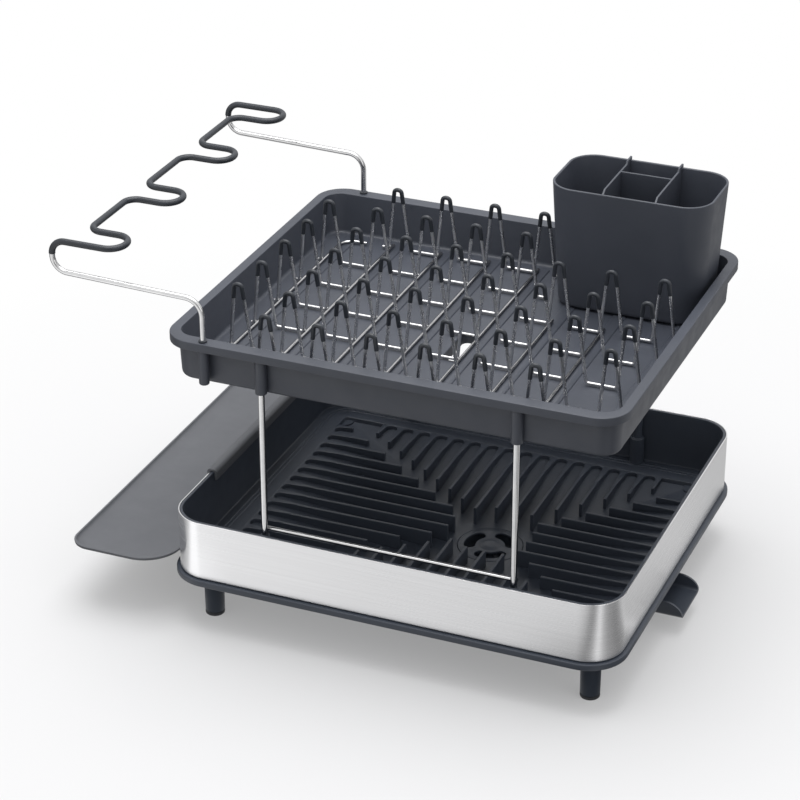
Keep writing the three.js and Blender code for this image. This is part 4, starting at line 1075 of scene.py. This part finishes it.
# %% Drain plate
KIDNEY_IN, KIDNEY_OUT, KIDNEY_HALF, KIDNEY_STEPS = 14, 25, 29.5, 12
KIDNEYS, PLATE_R, PLATE_STEPS, PLATE_DEEP, PLATE_EDGE = (50, 170, 290), 31, 96, 1.05, 0.4


def kidney(middle):
    """A slot bent round the drain, with round ends. Angles are in degrees."""
    low, high = middle - KIDNEY_HALF, middle + KIDNEY_HALF
    mean, width = (KIDNEY_OUT + KIDNEY_IN) / 2, (KIDNEY_OUT - KIDNEY_IN) / 2
    tips = [arc(0, 0, mean, at, at, 1)[0] for at in (high, low)]
    return (arc(0, 0, KIDNEY_OUT, low, high, KIDNEY_STEPS)
            + arc(*tips[0], width, high, high + 180, KIDNEY_STEPS)[1:-1]
            + arc(0, 0, KIDNEY_IN, high, low, KIDNEY_STEPS)
            + arc(*tips[1], width, low + 180, low + 360, KIDNEY_STEPS)[1:-1])


def filled(outlines, half_height, edge, x, z):
    """A flat filled curve with bevelled edges, as points and faces at the given place."""
    curve = bpy.data.curves.new("filled", "CURVE")
    curve.dimensions = "2D"
    curve.fill_mode = "BOTH"
    curve.extrude = (half_height - edge) * MM
    curve.bevel_depth = edge * MM
    curve.bevel_resolution = 2
    curve.offset = -edge * MM
    for outline in outlines:
        spline = curve.splines.new("POLY")
        spline.points.add(len(outline) - 1)
        for point, (px, py) in zip(spline.points, outline):
            point.co = (px * MM, py * MM, 0, 1)
        spline.use_cyclic_u = True
    made = put("filled", curve)
    mesh = plain_mesh(made)
    bpy.data.objects.remove(made)
    points = [(v.co.x / MM + x, v.co.y / MM, v.co.z / MM + z) for v in mesh.vertices]
    return points, [tuple(p.vertices) for p in mesh.polygons]


disc = arc(0, 0, PLATE_R, 0, 360, PLATE_STEPS)[:-1]
flat = filled([disc, *map(kidney, KIDNEYS)], PLATE_DEEP, PLATE_EDGE, DRAIN_X, PAN_LOW - PLATE_DEEP)
dome = turned_eased([
    (0, 16.9, 0), (4, 16.9, 0.4), (4, 36.5, 0), (11, 37.9, 0.1), (5.5, 39.1, 2), (0, 39.4, 0),
], DRAIN_X, 0, 48)
drain = piece("drain_moulding", gathered(flat, dome), basin_slate_with_painted_light)
stands_for(drain, "base", "drain_plate")

# %% [markdown]
# The channels between the ribs end at the ledge in half-round slots, and the ribs thicken there. The
# left, front and back of the pan get a comb each: a strip with a tapered finger over every rib.

# %% Channel ends
COMB_LONG, COMB_BACK, COMB_OVER, COMB_TIP, COMB_SHORT = 30.0, 2.4, 2, 3, 1
FINGER_WIDE, FINGER_THIN, GROOVE_FROM, GROOVE_DEEP, GROOVE_STEPS = 3.2, 1.3, 0.4, 5.6, 8
COMB_Z, COMB_HALF, COMB_EDGE, NEAR_WALL = 51.1, 4.6, 0.5, 150


def comb(places, lengths):
    """An outline of (depth, place) along one side, from ribs at the given places."""
    tips = [min(COMB_LONG, length - COMB_SHORT) for length in lengths]
    first, last = places[0] - COMB_OVER, places[-1] + COMB_OVER
    points = [(-COMB_BACK, first), (-COMB_BACK, last), (COMB_TIP, last),
              (tips[-1], places[-1] + FINGER_THIN)]
    for k in range(len(places) - 1, 0, -1):
        near, far = places[k - 1], places[k]
        middle, half = (near + far) / 2, (far - near) / 2 - FINGER_WIDE
        points.append((tips[k], far - FINGER_THIN))
        for t in range(GROOVE_STEPS + 1):
            turn = math.pi * t / GROOVE_STEPS
            points.append((GROOVE_FROM + GROOVE_DEEP * (1 - math.sin(turn)),
                           middle + half * math.cos(turn)))
        points.append((tips[k - 1], near + FINGER_THIN))
    return points + [(tips[0], places[0] - FINGER_THIN), (COMB_TIP, first)]


def rib_ends(axis, side):
    """Places and lengths of the ribs that end on one side of the pan."""
    other = 1 - axis
    return zip(*sorted(
        (far[other], abs(far[axis] - near[axis])) for near, far in ribs
        if abs(near[other] - far[other]) < 0.01 and far[axis] * side > NEAR_WALL))


comb_parts = []
for axis, side, edge in ((0, -1, PAN_X), (1, -1, PAN_Y), (1, 1, PAN_Y)):
    outline = [(side * (edge - d), p) for d, p in comb(*rib_ends(axis, side))]
    if axis == 1:
        outline = [(p, d) for d, p in outline]
    comb_parts.append(filled([outline], COMB_HALF, COMB_EDGE, 0, COMB_Z))
combs = piece("channel_ends", gathered(*comb_parts), basin_slate_with_painted_light)
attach(combs, "base")

# %% Cap under the spout
CAP_R, CAP_LOW, CAP_TOP = 9, 13.95, 16.55
cap_profile = [(0, CAP_LOW, 0), (CAP_R, CAP_LOW, 0.8), (CAP_R, CAP_TOP, 0.6), (0, CAP_TOP, 0)]
cap = piece("drain_cap_moulding", turned_eased(cap_profile, DRAIN_X), slate)
stands_for(cap, "base", "drain_cap")

# %% [markdown]
# ## Spout
#
# The spout is a flat-bottomed gutter that grows out of a shallow round cup. Solids make it
# best: the outer gutter and cup are joined, the inner ones are cut away, and a side outline trims
# the rim, which falls in a quarter round to the mouth. At rest it points straight to the right.

# %% Spout by solids
GUTTER_LOW, GUTTER_TOP, GUTTER_HALF, GUTTER_END, WALL = 17.5, 33.0, 27.0, 198.5, 2.4
CUP_R, CUP_TOP, OPEN_TOP = 35, 34.4, 60
HUB_R, HUB_LOW, HUB_TOP, HUB_HOLE = 8, 17.7, 23, 4.3
LIP_LONG, LIP_LOW, LIP_STEPS = 20, 1.5, 10
RIM_FALLS, TRIM_FROM, TRIM_TO, TRIM_TOP, TRIM_HALF = 60, -45, 219, 85, 50
SPOUT_SHARP, CUP_STEPS = 35, 96


def gutter(half, low, end, rounding):
    outline = [(-half, OPEN_TOP)]
    for side, first in ((-1, 180), (1, 270)):
        outline += arc(side * (half - rounding), low + rounding, rounding, first, first + 90)
    return prism(outline + [(half, OPEN_TOP)], 0, end, "x")


def cup(radius, low, high, rounding=2.0):
    return turned_eased([(0, low, 0), (radius, low, rounding), (radius, high, 0), (0, high, 0)],
                        steps=CUP_STEPS)


def combine(target, solid, operation):
    other = piece("spout_tool", solid, basin_slate_with_painted_light)
    modifier = target.modifiers.new("solid", "BOOLEAN")
    modifier.operation = operation
    modifier.solver = "MANIFOLD"
    modifier.object = other
    result = plain_mesh(target)
    target.modifiers.remove(modifier)
    target.data = result
    bpy.data.objects.remove(other)


lip_drop, lip_start = GUTTER_TOP - GUTTER_LOW - LIP_LOW, GUTTER_END - LIP_LONG
lip_turns = [math.pi / 2 * k / LIP_STEPS for k in range(1, LIP_STEPS + 1)]
trim_outline = [
    (TRIM_FROM, CUP_TOP), (CUP_R, CUP_TOP), (RIM_FALLS, GUTTER_TOP), (lip_start, GUTTER_TOP),
]
trim_outline += [(lip_start + LIP_LONG * math.sin(t), GUTTER_TOP - lip_drop * (1 - math.cos(t)))
                 for t in lip_turns]
trim_outline += [(TRIM_TO, GUTTER_TOP - lip_drop), (TRIM_TO, TRIM_TOP), (TRIM_FROM, TRIM_TOP)]
floor_top = GUTTER_LOW + WALL
spout = piece("spout_moulding", gutter(GUTTER_HALF, GUTTER_LOW, GUTTER_END, 4), basin_slate_with_painted_light)
for solid, operation in (
    (cup(CUP_R, GUTTER_LOW, 55), "UNION"),
    (gutter(GUTTER_HALF - WALL, floor_top, 214, 3), "DIFFERENCE"),
    (cup(CUP_R - WALL, floor_top, OPEN_TOP), "DIFFERENCE"),
    (prism(trim_outline, -TRIM_HALF, TRIM_HALF, "y"), "DIFFERENCE"),
    (cup(HUB_R, HUB_LOW, HUB_TOP, 0.4), "UNION"),
    (cup(HUB_HOLE, 10, 30, 0.1), "DIFFERENCE"),
):
    combine(spout, solid, operation)
for vertex in spout.data.vertices:
    vertex.co.x += DRAIN_X * MM
spout.data.shade_smooth()
spout.data.set_sharp_from_angle(angle=math.radians(SPOUT_SHARP))
soften(spout, 0.35, 2, 40)
stands_for(spout, "spout", "spout")
print("spout has", len(spout.data.polygons), "faces")

# %% [markdown]
# ## Floor, backdrop and light
#
# The photograph shows the rack on a white studio floor with one soft shadow. The floor is pale and
# matt and fades to plain white away from the rack. Metal needs something to mirror, so a ramp round
# the horizon holds the bright walls and the dark gaps of a studio, for mirrored rays only. Each stop
# is a compass direction in degrees and a brightness, where 1 is white.

# %% The room that metal mirrors
ROOM = [
    (-180, 0.9), (-140, 0.8), (-110, 0.4), (-95, 0.5), (-75, 1.2), (-45, 1.3), (-26, 0.95),
    (-18, 0.8), (-5, 0.7), (8, 0.6), (18, 0.3), (26, 0.12), (36, 0.35), (45, 0.75), (55, 0.85),
    (64, 0.5), (74, 0.3), (96, 0.15), (109, 0.15), (120, 0.5), (140, 0.9), (180, 0.9),
]
FLOOR_ROOM = [
    (-180, 0.45), (-100, 0.32), (-64, 0.38), (-53, 0.7), (-47, 1.35), (-38, 1.35), (-31, 1.0),
    (-3, 0.84), (15, 0.8), (28, 0.74), (36, 0.5), (43, 0.05), (48, 0.5), (52, 0.95), (57, 0.5),
    (62, 0.3), (72, 0.16), (81, 0.2), (84, 0.95), (87, 0.5), (115, 0.66), (150, 0.5), (180, 0.45),
]
ROOM_MOST = 1.4
PLAIN_WHITE = (1 / ROOM_MOST,) * 3 + (1,)


def room_light(tree, coords, room):
    """Brightness of the room by compass direction, from the front (0) to the right (90)."""
    split = add_node(tree, "ShaderNodeSeparateXYZ", {0: coords}).outputs
    turn = math_node(tree, "ARCTAN2", split["X"], math_node(tree, "MULTIPLY", split["Y"], -1.0))
    share = spread(tree, turn, 0, 1, -math.pi, math.pi)
    stops = [(degrees / 360 + 0.5, (value / ROOM_MOST,) * 3) for degrees, value in room]
    return ramp(tree, share, stops), split["Z"]


def ray_kinds(tree):
    """Three switches: what the camera sees, what metal mirrors, and either of the two."""
    path = add_node(tree, "ShaderNodeLightPath").outputs
    mirrored = math_node(tree, "MAXIMUM", path["Is Glossy Ray"], path["Is Transmission Ray"])
    camera_ray = path["Is Camera Ray"]
    return camera_ray, mirrored, math_node(tree, "MAXIMUM", camera_ray, mirrored)


print(len(ROOM), "stops round the horizon,", len(FLOOR_ROOM), "on the floor")

# %% Studio floor
FLOOR_HALF, FLOOR_SEEN, FLOOR_DIM = 14, (0.68, 0.68, 0.69), (0.15, 0.15, 0.15)
FADE_CENTRE, FADE_FROM, FADE_TO, FADE_LEAST = (0.08, -0.03, 0), 0.36, 0.86, 0.28
PANELS_FROM, PANELS_TO, MIRRORED_GLOW = 0.15, 0.3, 0.9


def studio_floor():
    h = FLOOR_HALF
    mesh = bpy.data.meshes.new("studio_floor")
    mesh.from_pydata([(-h, -h, 0), (h, -h, 0), (h, h, 0), (-h, h, 0)], [], [(0, 1, 2, 3)])
    material, tree, shader, coords = finish_tree("studio_floor")
    camera_ray, mirrored, seen = ray_kinds(tree)
    feed_all(shader, {
        "Base Color": ramp(tree, seen, [(0, FLOOR_DIM), (1, FLOOR_SEEN)]),
        "Roughness": 0.8,
        "Specular IOR Level": 0.1,
    })
    reach = add_node(tree, "ShaderNodeVectorMath", {0: coords}, operation="LENGTH")
    # For mirrored rays the floor glows with the room's bright and dark panels.
    far = spread(tree, reach.outputs["Value"], 0, 1, PANELS_FROM, PANELS_TO)
    room = room_light(tree, coords, FLOOR_ROOM)[0]
    color = mixed(tree, math_node(tree, "MULTIPLY", mirrored, far), PLAIN_WHITE, room)
    glow = add_node(tree, "ShaderNodeEmission", {"Color": color, "Strength": ROOM_MOST})
    # Painted light: for the camera the floor glows white, at least 0.28 of it near the rack, which
    # lightens the floor's own shadow, and all of it beyond 0.86 m.
    aside = add_node(tree, "ShaderNodeVectorMath", {0: coords, 1: FADE_CENTRE},
                     operation="DISTANCE")
    fade = spread(tree, aside.outputs["Value"], FADE_LEAST, 1, FADE_FROM, FADE_TO)
    fade = math_node(tree, "MAXIMUM", fade, math_node(tree, "MULTIPLY", mirrored, MIRRORED_GLOW))
    mix = add_node(tree, "ShaderNodeMixShader", {
        "Fac": math_node(tree, "MULTIPLY", fade, seen),
        1: shader.outputs["BSDF"],
        2: glow.outputs["Emission"],
    })
    feed_all(tree.nodes["Material Output"], {"Surface": mix.outputs["Shader"]})
    mesh.materials.append(material)
    return put("studio_floor", mesh)


floor = studio_floor()
print("floor fades to white between", FADE_FROM, "and", FADE_TO, "m")

# %% World
SKY_LOW, SKY_HIGH, WHITE_FROM, WHITE_TO = 0.36, 1.0, 0.35, 0.65
world = bpy.data.worlds.new("studio")
bpy.context.scene.world = world
world.use_nodes = True
tree = world.node_tree
direction = add_node(tree, "ShaderNodeTexCoord").outputs["Generated"]
camera_ray, mirrored, seen = ray_kinds(tree)
room, height = room_light(tree, direction, ROOM)
above = spread(tree, height, 0, 1, WHITE_FROM, WHITE_TO)
shown = mixed(tree, math_node(tree, "MAXIMUM", camera_ray, above), room, PLAIN_WHITE)
sky = spread(tree, height, SKY_LOW, SKY_HIGH, 0, 1)
feed_all(tree.nodes["Background"], {
    "Color": mixed(tree, seen, (1, 1, 1, 1), shown),
    "Strength": mixed(tree, seen, sky, ROOM_MOST, "FLOAT"),
})
print("sky's brightness runs from", SKY_LOW, "to", SKY_HIGH)

# %% Lamps
LIT = Vector((0, 0, 0.2))


def soft_box(name, location, width, depth, power):
    """A lamp panel that faces the rack. Places and sizes are in metres, the power in watts."""
    lamp = bpy.data.lights.new(name, "AREA")
    lamp.shape = "RECTANGLE"
    lamp.size, lamp.size_y, lamp.energy = width, depth, power
    made = put(name, lamp)
    made.location = location
    made.rotation_euler = (Vector(location) - LIT).to_track_quat("Z", "Y").to_euler()


soft_box("over_light", (-0.1, 0.1, 1.9), 1.6, 1.6, 29)
soft_box("right_light", (1.7, -0.5, 0.9), 1.2, 1.0, 3)
print("two soft boxes")
